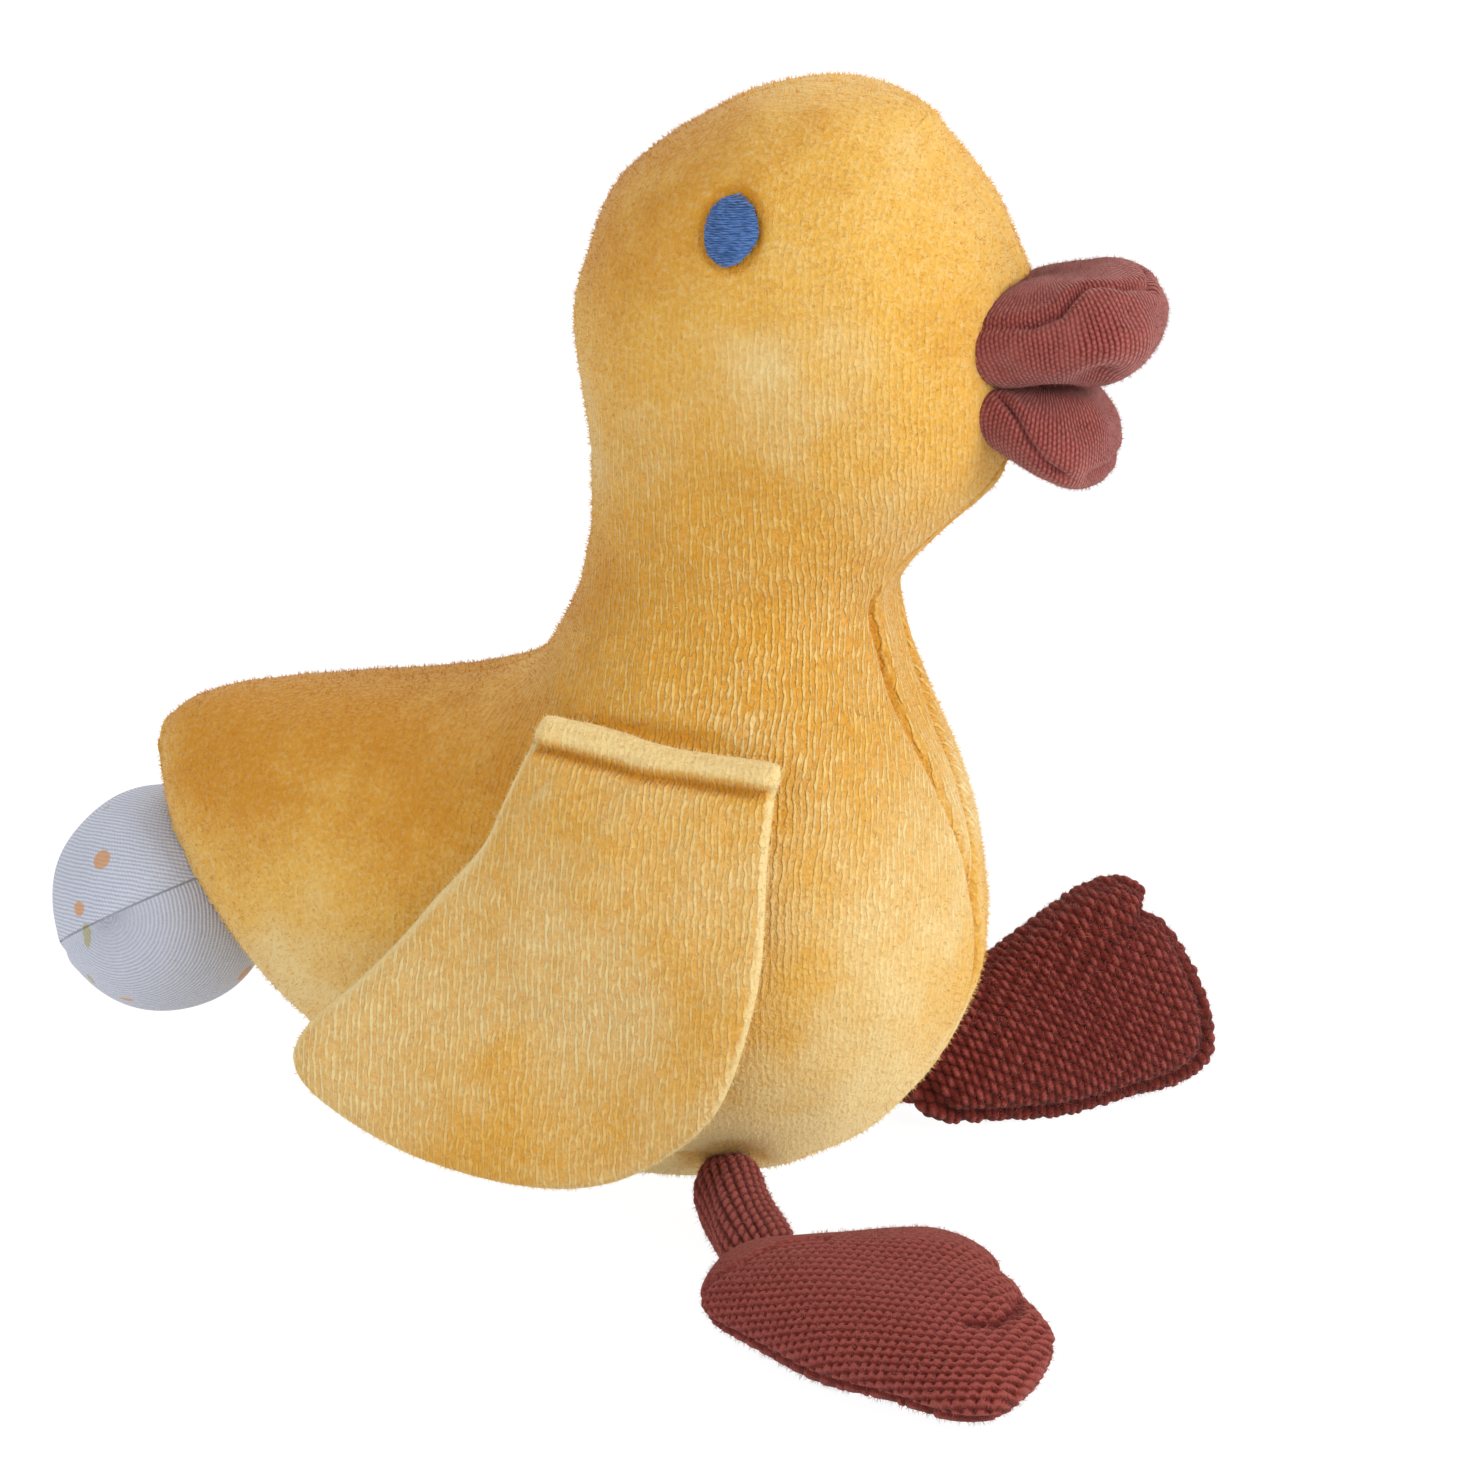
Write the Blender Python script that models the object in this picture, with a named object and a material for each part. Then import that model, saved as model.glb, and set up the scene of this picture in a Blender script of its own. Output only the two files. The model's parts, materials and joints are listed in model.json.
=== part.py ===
"""A seated plush duck with a pull-string musical movement in its belly.

Metres, +Z up, +X towards the beak, +Y to the duck's left. The origin is on the seat, the small flat under
the belly, so the duck sits on z = 0. Soft pieces are closed forms lofted or puffed from a few named sizes.
The musical movement lies in a round case in the belly, with its shafts along Y.
"""

import math

import bmesh
import bpy
from mathutils import Matrix, Vector
from mathutils.bvhtree import BVHTree

# Clearances: between pieces, of a cutter past what it cuts, and of a soft form's flat on the floor
CLEARANCE = 0.0003
OVERRUN = 0.002
FLAT_DEPTH = 0.0005
SHARP_ANGLE_DEG = 40.0

# Body: length from tail tip to chest, height from the seat to the neck's waist
BODY_LENGTH = 0.168
BODY_HEIGHT = 0.120
BODY_HALF_WIDTH = 0.043
SECTION_POWER = 2.2
RING_POINTS = 20
STATION_STEPS = 2
# Each station from tail to neck: back x and z, belly x and z, half width
BODY_STATION_SHARES = (
    (-0.582, 0.640, -0.590, 0.558, 0.078),
    (-0.556, 0.673, -0.581, 0.500, 0.200),
    (-0.506, 0.697, -0.561, 0.416, 0.333),
    (-0.429, 0.713, -0.517, 0.325, 0.478),
    (-0.345, 0.730, -0.445, 0.221, 0.622),
    (-0.262, 0.753, -0.341, 0.117, 0.756),
    (-0.190, 0.775, -0.208, 0.032, 0.867),
    (-0.143, 0.797, -0.060, -0.004, 0.944),
    (-0.119, 0.820, 0.095, -0.004, 0.989),
    (-0.106, 0.842, 0.213, 0.050, 1.000),
    (-0.096, 0.875, 0.317, 0.175, 0.978),
    (-0.086, 0.900, 0.373, 0.342, 0.922),
    (-0.077, 0.929, 0.371, 0.500, 0.856),
    (-0.069, 0.963, 0.346, 0.646, 0.789),
    (-0.062, 1.004, 0.301, 0.792, 0.711),
    (-0.056, 1.058, 0.271, 0.946, 0.656),
)

# Head: length from nape to face, height from the neck's waist to the crown
HEAD_LENGTH = 0.086
HEAD_HEIGHT = 0.092
HEAD_HALF_WIDTH = 0.034
HEAD_STATION_SHARES = (
    (-0.316, 0.160, 0.355, 0.019, 0.862),
    (-0.318, 0.253, 0.445, 0.117, 0.891),
    (-0.332, 0.356, 0.538, 0.204, 0.935),
    (-0.346, 0.454, 0.584, 0.296, 0.976),
    (-0.337, 0.552, 0.600, 0.389, 1.000),
    (-0.304, 0.655, 0.609, 0.481, 1.000),
    (-0.255, 0.769, 0.613, 0.573, 0.971),
    (-0.155, 0.845, 0.581, 0.645, 0.906),
    (-0.033, 0.915, 0.548, 0.716, 0.794),
    (0.095, 0.958, 0.499, 0.778, 0.632),
    (0.211, 0.968, 0.444, 0.841, 0.441),
    (0.310, 0.949, 0.406, 0.886, 0.221),
)
NECK_BALL_RADIUS = 0.045
NECK_BALL_SIDES = 30
NECK_BALL_RINGS = 20
NECK_OVERLAP_STATIONS = 3

# Beak lobes: base place in the head, sizes, and tilt of each lobe
BEAK_BASE_SHARES = (0.560, 0.440)
UPPER_BEAK_LENGTH = 0.0295
UPPER_BEAK_HALF_WIDTH = 0.0180
UPPER_BEAK_HALF_HEIGHT = 0.0100
UPPER_BEAK_TILT_DEG = 9.0
UPPER_BEAK_RISE = 0.0063
LOWER_BEAK_LENGTH = 0.0205
LOWER_BEAK_HALF_WIDTH = 0.0165
LOWER_BEAK_HALF_HEIGHT = 0.0090
LOWER_BEAK_TILT_DEG = -9.0
LOWER_BEAK_DROP = 0.0100
# Bill outline from the root along one side to the tip: along the length, across the half width
BEAK_OUTLINE_SHARES = (
    (-0.10, 0.96),
    (0.25, 1.00),
    (0.58, 0.98),
    (0.84, 0.84),
    (0.96, 0.58),
    (1.00, 0.20),
)
BEAK_POWER = 2.6

# Eyes: satin-stitched ovals
EYE_SHARES = (0.089, 0.747)
EYE_LENGTH = 0.0098
EYE_HEIGHT = 0.0114
EYE_THICKNESS = 0.0009
EYE_RING_SHARES = (1.0, 0.6)
EYE_POINTS = 16

# Wings: the shoulder seam's ends, then the outline
WING_SEAM_REAR_SHARES = (-0.042, 0.812)
WING_SEAM_FRONT_SHARES = (0.212, 0.786)
WING_LENGTH = 0.090
WING_DROP = 0.083
WING_THICKNESS = 0.0055
WING_FLARE_SHARE = 0.21
# At its seam the wing is pinched to a share of its thickness, and it swells to the whole within the taper
WING_SEAM_SHARE = 0.05
WING_SEAM_TAPER = 0.014
# How softly the flare passes into the part that is moulded round the body
WING_BLEND = 0.0006
# Outline from the rear end of the seam round the tip to its front end, about the seam's middle
WING_OUTLINE_SHARES = (
    (-0.251, 0.022),
    (-0.320, -0.148),
    (-0.371, -0.277),
    (-0.485, -0.435),
    (-0.563, -0.527),
    (-0.641, -0.620),
    (-0.718, -0.699),
    (-0.755, -0.783),
    (-0.707, -0.861),
    (-0.553, -0.939),
    (-0.421, -0.983),
    (-0.247, -0.998),
    (-0.095, -0.984),
    (0.029, -0.923),
    (0.139, -0.810),
    (0.193, -0.694),
    (0.225, -0.535),
    (0.236, -0.384),
    (0.234, -0.180),
    (0.245, -0.021),
)
WING_CENTRE_SHARES = (-0.125, -0.556)
WING_RING_SHARES = (1.0, 0.985, 0.95, 0.84, 0.45)
WING_POWER = 14.0

# Legs: stuffed tubes from the belly seam to the foot
HIP_SHARES = (0.131, 0.062)
HIP_HALF_SPREAD = 0.0230
HIP_RADIUS = 0.0035
LEG_RADIUS = 0.0065
ANKLE_RADIUS = 0.0045
LEG_TAPER_LENGTH = 0.013
LEG_POINTS = 12
LEG_SIDES = 12
LEG_CAP_TURNS_DEG = (25.0, 50.0, 75.0)

# Feet: stuffed paddles with three toes
FOOT_LENGTH = 0.064
FOOT_HALF_WIDTH = 0.0225
FOOT_HALF_HEIGHT = 0.0100
FOOT_POWER = 2.4
# Outline from the heel round the lower side and the toes: along the length, across the half width
FOOT_OUTLINE_SHARES = (
    (0.000, 0.00),
    (0.015, -0.30),
    (0.070, -0.48),
    (0.220, -0.64),
    (0.420, -0.80),
    (0.640, -0.90),
    (0.820, -0.95),
    (0.940, -0.84),
    (0.990, -0.50),
    (1.000, -0.15),
    (0.990, 0.20),
    (0.965, 0.42),
    (0.925, 0.56),
    (0.950, 0.68),
    (0.935, 0.83),
    (0.870, 0.94),
    (0.750, 0.96),
    (0.580, 0.85),
    (0.380, 0.69),
    (0.200, 0.56),
    (0.070, 0.42),
    (0.015, 0.24),
)
FOOT_RING_SHARES = (1.0, 0.96, 0.86, 0.68, 0.42)
# The ankle in the foot: along the length, across the half width towards the belly
ANKLE_SHARES = (0.17, 0.14)
ANKLE_SWING_DEG = 15.0
SWING_STEPS = 5
# How much of the leg above the ankle the foot makes room for, in leg radii
ANKLE_ROOM_SHARE = 2.5

# Right leg: where its ankle stands, how far the foot turns out, rolls and pitches, and its toes' slant
RIGHT_ANKLE_PLACE = (0.0465, -0.0700)
RIGHT_FOOT_TURNS_DEG = (-4.0, 8.0, -1.0)
RIGHT_FOOT_SKEW_SHARE = -0.28
RIGHT_LEG_BEND = 0.001
# Left leg
LEFT_ANKLE_PLACE = (0.0525, 0.0290)
LEFT_FOOT_TURNS_DEG = (42.0, 62.0, 13.0)
LEFT_FOOT_SKEW_SHARE = 0.0
LEFT_LEG_BEND = 0.003

# Pull ball and cord
BALL_RADIUS = 0.0220
BALL_COVER_THICKNESS = 0.0012
BALL_SEGMENTS = 20
BALL_RINGS = 10
BALL_CENTRE_SHARES = (-0.597, 0.317)
CORD_RADIUS = 0.0008
CORD_TURNS = 2.0
CORD_TURN_PITCH = 0.0022
CORD_TURN_POINTS = 24
CORD_STRAIGHT_POINTS = 12
KNOT_RADIUS = 0.0026
SMALL_BALL_RINGS = 8
CHANNEL_RADIUS = 0.0022

# Musical movement: the case and its place in the belly
CASE_CENTRE_SHARES = (0.012, 0.392)
CASE_WALL = 0.0020
CASE_MARGIN = 0.00106
CASE_HALF_DEPTH = 0.0166
CASE_SIDES = 40
COVER_THICKNESS = 0.0020
BOSS_RADIUS = 0.0026
BOSS_GAP = 0.0005
TOP_BOSS_ANGLE_DEG = 93.0
SCREW_SHANK_RADIUS = 0.0008
SCREW_SHANK_LENGTH = 0.0080
SCREW_HEAD_RADIUS = 0.0017
SCREW_HEAD_HEIGHT = 0.0012
SCREW_SLOT_WIDTH = 0.0005
SCREW_SLOT_DEPTH = 0.0006
SCREW_SIDES = 12

# Movement frame: bedplate, two cheeks and the comb's riser
PLATE_THICKNESS = 0.0015
PLATE_HALF_LENGTH = 0.0192
PLATE_DROP = 0.0128
CHEEK_THICKNESS = 0.0014
CHEEK_MARGIN = 0.0035
LEDGE_HEIGHT = 0.0020
LEDGE_LENGTH = 0.0060

# Shafts and wheels, with their stations along Y from the cover to the base
MAIN_SHAFT_OFFSET = (-0.0080, 0.0)
MAIN_SHAFT_RADIUS = 0.0012
FLY_SHAFT_RADIUS = 0.0008
FLY_ANGLE_DEG = 46.0
SHAFT_SIDES = 16
BARREL_RADIUS = 0.0100
BARREL_WALL = 0.0008
BARREL_DEPTH = 0.0050
SPRING_TURNS = 5
SPRING_THICKNESS = 0.0003
SPRING_TURN_POINTS = 16
MUSIC_CYLINDER_RADIUS = 0.0065
MUSIC_CYLINDER_LENGTH = 0.0120
MUSIC_CYLINDER_SIDES = 32
PIN_HEIGHT = 0.0003
PIN_WIDTH = 0.0003
PIN_COUNT = 40
PIN_TRACK_STEP = 7
GEAR_TEETH = 42
PINION_TEETH = 14
GEAR_MODULE = 0.0005
GEAR_WIDTH = 0.0014
GEAR_BACKLASH = 0.00016
GEAR_SLACK = 0.00012
PRESSURE_ANGLE_DEG = 20.0
ADDENDUM_SHARE = 0.85
DEDENDUM_SHARE = 1.30
FLANK_POINTS = 2
DRUM_RADIUS = 0.0080
DRUM_FLANGE_RADIUS = 0.0105
DRUM_FLANGE = 0.0008
DRUM_CORE_WIDTH = 0.0072
VANE_RADIUS = 0.0062
VANE_THICKNESS = 0.0006
VANE_HUB_RADIUS = 0.0018

# Comb
COMB_TEETH = 18
COMB_TOOTH_LENGTH = 0.0085
COMB_TOOTH_SHARE = 0.62
COMB_BACK_LENGTH = 0.0075
COMB_THICKNESS = 0.0009
RISER_MARGIN = 0.0004
COMB_SCREW_SHANK_LENGTH = 0.0045
COMB_SCREW_SPREAD_SHARE = 0.30


# Scene and mesh helpers


def clear_scene():
    for item in list(bpy.data.objects):
        bpy.data.objects.remove(item, do_unlink=True)


def material(name, colour, roughness, metallic=0.0):
    made = bpy.data.materials.new(name)
    made.use_nodes = True
    shader = made.node_tree.nodes["Principled BSDF"]
    shader.inputs["Base Color"].default_value = (*colour, 1.0)
    shader.inputs["Roughness"].default_value = roughness
    shader.inputs["Metallic"].default_value = metallic
    return made


def add_mesh(name, points, faces, finish=None, smooth=True):
    """An object from points in world space, with its faces turned outwards."""
    mesh = bpy.data.meshes.new(name)
    mesh.from_pydata([tuple(point) for point in points], [], faces)
    work = bmesh.new()
    work.from_mesh(mesh)
    bmesh.ops.recalc_face_normals(work, faces=work.faces)
    work.to_mesh(mesh)
    work.free()
    if smooth:
        mesh.shade_smooth()
        mesh.set_sharp_from_angle(angle=math.radians(SHARP_ANGLE_DEG))
    item = bpy.data.objects.new(name, mesh)
    bpy.context.scene.collection.objects.link(item)
    if finish:
        mesh.materials.append(finish)
    return item


def helper(item):
    item.hide_render = True
    item.display_type = "WIRE"
    return item


def set_origin(item, place):
    """Moves the object's origin to a point, such as its joint, without moving its shape."""
    item.data.transform(Matrix.Translation(-Vector(place)))
    item.location = place


def combine(item, other, operation):
    step = item.modifiers.new(other.name, "BOOLEAN")
    step.operation = operation
    step.solver = "EXACT"
    step.object = helper(other)


def cut(item, *others):
    for other in others:
        combine(item, other, "DIFFERENCE")


def join(item, *others):
    for other in others:
        combine(item, other, "UNION")


def grown(item, name, margin):
    """A helper copy of a form, larger all round by a margin."""
    copy = bpy.data.objects.new(name, item.data.copy())
    copy.location = item.location
    bpy.context.scene.collection.objects.link(copy)
    swell = copy.modifiers.new("swell", "DISPLACE")
    swell.strength = margin
    swell.mid_level = 0.0
    return helper(copy)


def ring_faces(rings, points_each):
    """Quads between successive rings of points."""
    faces = []
    for ring in range(rings - 1):
        start = ring * points_each
        for step in range(points_each):
            after = (step + 1) % points_each
            next_start = start + points_each
            faces.append((start + step, start + after, next_start + after, next_start + step))
    return faces


def loft(name, rings, finish=None, ends=("pole", "pole")):
    """A closed form through rings of points. An end is rounded off to a pole, or closed flat."""
    each = len(rings[0])
    points = [point for ring in rings for point in ring]
    faces = ring_faces(len(rings), each)
    for end, first in ((ends[0], 0), (ends[1], (len(rings) - 1) * each)):
        rim = list(range(first, first + each))
        if end == "flat":
            faces.append(rim)
            continue
        centre = sum((Vector(points[index]) for index in rim), Vector()) / each
        points.append(centre)
        for step in range(each):
            faces.append((rim[step], rim[(step + 1) % each], len(points) - 1))
    return add_mesh(name, points, faces, finish)


def spline(stations, steps):
    """Catmull-Rom values through a list of tuples, with a number of steps to each span."""
    result = []
    for index in range(len(stations) - 1):
        before = stations[max(index - 1, 0)]
        start, end = stations[index], stations[index + 1]
        after = stations[min(index + 2, len(stations) - 1)]
        for step in range(steps):
            t = step / steps
            result.append(
                tuple(
                    b
                    + (c - a) * t / 2
                    + (2 * a - 5 * b + 4 * c - d) * t**2 / 2
                    + (3 * b - a - 3 * c + d) * t**3 / 2
                    for a, b, c, d in zip(before, start, end, after)
                )
            )
    result.append(tuple(stations[-1]))
    return result


def puff(name, outline, centre, ring_shares, half_height, power, place, finish=None):
    """A padded form: an outline filled with crowned faces above and below, which meet in a seam round it.

    place turns each point, along, across and up from the middle sheet, into a point in world space.
    """
    each = len(outline)
    points = [place(along, across, 0.0) for along, across in outline]
    faces = []
    for side in (1, -1):
        rims = [list(range(each))]
        for share in ring_shares[1:]:
            height = side * half_height * math.sqrt(1 - share**power)
            rims.append(list(range(len(points), len(points) + each)))
            for along, across in outline:
                spot = (centre[0] + (along - centre[0]) * share, centre[1] + (across - centre[1]) * share)
                points.append(place(*spot, height))
        for outer, inner in zip(rims, rims[1:]):
            for step in range(each):
                after = (step + 1) % each
                faces.append((outer[step], outer[after], inner[after], inner[step]))
        points.append(place(*centre, side * half_height))
        faces += [(rims[-1][step], rims[-1][(step + 1) % each], len(points) - 1) for step in range(each)]
    return add_mesh(name, points, faces, finish)


def mirrored_outline(side, length, half_width):
    """A whole outline from one side's shares, run out on one side and back on the other."""
    one = [(along * length, across * half_width) for along, across in spline(side, 2)]
    return one + [(along, -across) for along, across in reversed(one)]


def lathe(name, profile, sides, matrix, finish=None):
    """A turned piece about the matrix's Z axis from (height, radius) points, or a ring."""
    points, rims = [], []
    for height, radius in profile:
        if radius == 0:
            rims.append([len(points)])
            points.append(matrix @ Vector((0, 0, height)))
            continue
        rims.append(list(range(len(points), len(points) + sides)))
        for step in range(sides):
            turn = math.tau * step / sides
            points.append(matrix @ Vector((radius * math.cos(turn), radius * math.sin(turn), height)))
    pairs = list(zip(rims, rims[1:]))
    if len(rims[0]) > 1:
        pairs.append((rims[-1], rims[0]))
    faces = []
    for low, high in pairs:
        for step in range(sides):
            after = (step + 1) % sides
            if len(low) == 1:
                faces.append((low[0], high[after], high[step]))
            elif len(high) == 1:
                faces.append((low[step], low[after], high[0]))
            else:
                faces.append((low[step], low[after], high[after], high[step]))
    return add_mesh(name, points, faces, finish)


def axes_along(place, way):
    """A matrix at a point whose Z axis runs a given way. Its entries are exact for a way along an axis."""
    other = Vector((1.0, 0.0, 0.0)) if abs(way.z) > max(abs(way.x), abs(way.y)) else Vector((0.0, 0.0, 1.0))
    side = way.cross(other).normalized()
    turn = Matrix((side, way.cross(side), way)).transposed().to_4x4()
    return Matrix.Translation(place) @ turn


def along_y(place):
    return axes_along(place, Vector((0.0, 1.0, 0.0)))


def rod(name, start, end, radius, sides, finish=None):
    """A plain round bar between two points."""
    start, end = Vector(start), Vector(end)
    turn = axes_along((0, 0, 0), (end - start).normalized())
    around = [math.tau * step / sides for step in range(sides)]
    ring = [turn @ Vector((radius * math.cos(angle), radius * math.sin(angle), 0.0)) for angle in around]
    rings = [[place + point for point in ring] for place in (start, end)]
    return loft(name, rings, finish, ("flat", "flat"))


def block(name, low, high, finish=None):
    corners = [(x, y, z) for x in (low[0], high[0]) for y in (low[1], high[1]) for z in (low[2], high[2])]
    faces = [(0, 1, 3, 2), (4, 6, 7, 5), (0, 4, 5, 1), (2, 3, 7, 6), (0, 2, 6, 4), (1, 5, 7, 3)]
    return add_mesh(name, corners, faces, finish, smooth=False)


def plate(name, outline, low, high, matrix, finish=None):
    """A flat outline pulled into a solid between two heights of the matrix's Z axis."""
    each = len(outline)
    points = [matrix @ Vector((x, y, low)) for x, y in outline]
    points += [matrix @ Vector((x, y, high)) for x, y in outline]
    faces = ring_faces(2, each) + [list(range(each)), list(range(each, 2 * each))]
    return add_mesh(name, points, faces, finish, smooth=False)


def hull(name, points):
    """The convex shape round some points, as a helper."""
    work = bmesh.new()
    for point in points:
        work.verts.new(point)
    made = bmesh.ops.convex_hull(work, input=work.verts)
    spare = [item for item in made["geom_interior"] if isinstance(item, bmesh.types.BMVert)]
    bmesh.ops.delete(work, geom=spare, context="VERTS")
    mesh = bpy.data.meshes.new(name)
    work.to_mesh(mesh)
    work.free()
    item = bpy.data.objects.new(name, mesh)
    bpy.context.scene.collection.objects.link(item)
    return helper(item)


def ball_points(centre, radius, sides=12, rings=7):
    """Points all over a ball."""
    return [
        Vector(centre)
        + radius
        * Vector(
            (
                math.sin(math.pi * ring / rings) * math.cos(math.tau * side / sides),
                math.sin(math.pi * ring / rings) * math.sin(math.tau * side / sides),
                math.cos(math.pi * ring / rings),
            )
        )
        for ring in range(rings + 1)
        for side in range(sides)
    ]


def ball(name, centre, radius, segments=BALL_SEGMENTS, rings=BALL_RINGS, finish=None):
    profile = [
        (-radius * math.cos(math.pi * ring / rings), radius * math.sin(math.pi * ring / rings))
        for ring in range(1, rings)
    ]
    profile = [(-radius, 0.0), *profile, (radius, 0.0)]
    return lathe(name, profile, segments, Matrix.Translation(centre), finish)


# Places in the body and head


def body_at(shares):
    return shares[0] * BODY_LENGTH, shares[1] * BODY_HEIGHT


BODY_STATIONS = [
    (*body_at(row[:2]), *body_at(row[2:4]), row[4] * BODY_HALF_WIDTH) for row in BODY_STATION_SHARES
]
WAIST_BACK = Vector((BODY_STATIONS[-1][0], 0.0, BODY_STATIONS[-1][1]))
WAIST_FRONT = Vector((BODY_STATIONS[-1][2], 0.0, BODY_STATIONS[-1][3]))
WAIST = (WAIST_BACK + WAIST_FRONT) / 2


def head_at(shares):
    return WAIST.x + shares[0] * HEAD_LENGTH, WAIST.z + shares[1] * HEAD_HEIGHT


HEAD_STATIONS = [
    (*head_at(row[:2]), *head_at(row[2:4]), row[4] * HEAD_HALF_WIDTH) for row in HEAD_STATION_SHARES
]
WAIST_HALF_DEPTH = (WAIST_FRONT - WAIST_BACK).length / 2
WAIST_UP = Vector((WAIST_BACK.z - WAIST_FRONT.z, 0.0, WAIST_FRONT.x - WAIST_BACK.x)).normalized()
NECK_CENTRE = WAIST - WAIST_UP * math.sqrt(NECK_BALL_RADIUS**2 - WAIST_HALF_DEPTH**2)


def section(station):
    """One ring of the skin, between its back point and its belly point."""
    back_x, back_z, belly_x, belly_z, half_width = station
    ring = []
    for step in range(RING_POINTS):
        turn = math.tau * step / RING_POINTS
        up, side = math.cos(turn), math.sin(turn)
        up = math.copysign(abs(up) ** (2 / SECTION_POWER), up)
        side = math.copysign(abs(side) ** (2 / SECTION_POWER), side)
        ring.append(
            Vector(
                (
                    (back_x + belly_x) / 2 + up * (back_x - belly_x) / 2,
                    side * half_width,
                    (back_z + belly_z) / 2 + up * (back_z - belly_z) / 2,
                )
            )
        )
    return ring


def skin(name, stations, ends, finish=None):
    return loft(name, [section(station) for station in spline(stations, STATION_STEPS)], finish, ends)


def surface_of(item):
    """A function that gives how far out the form's side lies at a place in the side view."""
    points = [item.matrix_world @ vertex.co for vertex in item.data.vertices]
    tree = BVHTree.FromPolygons(points, [list(face.vertices) for face in item.data.polygons])
    outside = 2 * BODY_LENGTH

    def half_width(x, z):
        hit = tree.ray_cast(Vector((x, -outside, z)), Vector((0, 1, 0)))[0]
        return -hit.y if hit else 0.0

    return half_width


# Soft pieces


def make_body(finish):
    """The torso, with the round end that the head turns on, its pocket and the cord's channel."""
    stations = BODY_STATIONS + HEAD_STATIONS[:NECK_OVERLAP_STATIONS]
    body = skin("body", stations, ("pole", "flat"), finish)
    reach = 2 * NECK_BALL_RADIUS
    space = block("neck_space", (-reach, -reach, 0.0), (reach, reach, reach + NECK_BALL_RADIUS))
    tilt = WAIST_UP.to_track_quat("Z", "Y").to_matrix().to_4x4()
    # The ball is wider than the neck at this level, so only its dome is left above it.
    level = WAIST - WAIST_UP * (NECK_BALL_RADIUS - WAIST_HALF_DEPTH) / 2
    space.data.transform(Matrix.Translation(level) @ tilt)
    cut(space, ball("neck_ball", NECK_CENTRE, NECK_BALL_RADIUS, NECK_BALL_SIDES, NECK_BALL_RINGS))
    cut(body, space)
    reach = 2 * BODY_LENGTH
    cut(body, block("floor", (-reach, -reach, -reach), (reach, reach, 0.0)))
    return body


def make_head(finish):
    stations = BODY_STATIONS[-2:] + HEAD_STATIONS
    head = skin("head", stations, ("flat", "pole"), finish)
    socket_radius = NECK_BALL_RADIUS + CLEARANCE
    cut(head, ball("neck_socket", NECK_CENTRE, socket_radius, NECK_BALL_SIDES, NECK_BALL_RINGS))
    return head


def beak_place(rise, tilt_deg):
    base_x, base_z = head_at(BEAK_BASE_SHARES)
    tilt = math.radians(tilt_deg)

    def place(along, across, up):
        return Vector(
            (
                base_x + along * math.cos(tilt) - up * math.sin(tilt),
                across,
                base_z + rise + along * math.sin(tilt) + up * math.cos(tilt),
            )
        )

    return place


def make_beak(name, length, half_width, half_height, rise, tilt_deg, finish):
    outline = mirrored_outline(BEAK_OUTLINE_SHARES, length, half_width)
    centre = (length / 2, 0.0)
    place = beak_place(rise, tilt_deg)
    return puff(name, outline, centre, FOOT_RING_SHARES, half_height, BEAK_POWER, place, finish)


def make_eye(name, side, half_width, finish):
    """A thin satin-stitched oval that lies on the head's side."""
    centre_x, centre_z = head_at(EYE_SHARES)
    rings = []
    for offset in (CLEARANCE, CLEARANCE + EYE_THICKNESS):
        layer = []
        for share in EYE_RING_SHARES:
            ring = []
            for step in range(EYE_POINTS):
                turn = math.tau * step / EYE_POINTS
                x = centre_x + share * EYE_LENGTH / 2 * math.cos(turn)
                z = centre_z + share * EYE_HEIGHT / 2 * math.sin(turn)
                ring.append(Vector((x, side * (half_width(x, z) + offset), z)))
            layer.append(ring)
        rings += layer if offset > CLEARANCE else reversed(layer)
    return loft(name, rings, finish)


def seam_line(half_width):
    """The right wing's hinge: a straight line that clears the body by half the pinched edge and a gap."""
    rear = body_at(WING_SEAM_REAR_SHARES)
    front = body_at(WING_SEAM_FRONT_SHARES)
    offset = WING_SEAM_SHARE * WING_THICKNESS / 2 + CLEARANCE
    samples = 12
    ends = [half_width(*rear) + offset, half_width(*front) + offset]
    short = 0.0
    for step in range(samples + 1):
        share = step / samples
        x = rear[0] + (front[0] - rear[0]) * share
        z = rear[1] + (front[1] - rear[1]) * share
        line = ends[0] + (ends[1] - ends[0]) * share
        short = max(short, half_width(x, z) + offset - line)
    return (
        Vector((rear[0], -ends[0] - short, rear[1])),
        Vector((front[0], -ends[1] - short, front[1])),
    )


def wing_sheet(half_width, line):
    """How far out the wing's middle sheet lies in the side view: flared, and moulded round the body."""
    rear, front = line
    run = front - rear

    def out(x, z):
        share = (x - rear.x) / run.x
        drop = max(rear.z + run.z * share - z, 0.0)
        plain = -(rear.y + run.y * min(max(share, 0.0), 1.0)) + WING_FLARE_SHARE * drop
        swell = min(WING_SEAM_SHARE + drop / WING_SEAM_TAPER, 1.0)
        moulded = half_width(x, z) + swell * WING_THICKNESS / 2 + CLEARANCE
        return (plain + moulded + math.hypot(plain - moulded, WING_BLEND)) / 2

    return out


def make_wing(name, side, out, line, finish):
    middle_x = (line[0].x + line[1].x) / 2
    middle_z = (line[0].z + line[1].z) / 2
    top = (WING_OUTLINE_SHARES[-1], WING_OUTLINE_SHARES[0])
    shares = spline(WING_OUTLINE_SHARES, 2) + spline(top, 4)[1:-1]
    lift = WING_THICKNESS / 2
    outline = [(middle_x + x * WING_LENGTH, middle_z + z * WING_DROP) for x, z in shares]
    centre = (middle_x + WING_CENTRE_SHARES[0] * WING_LENGTH, middle_z + WING_CENTRE_SHARES[1] * WING_DROP)

    def place(x, z, up):
        return Vector((x, side * (out(x, z) + up), z))

    return puff(name, outline, centre, WING_RING_SHARES, lift, WING_POWER, place, finish)


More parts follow.
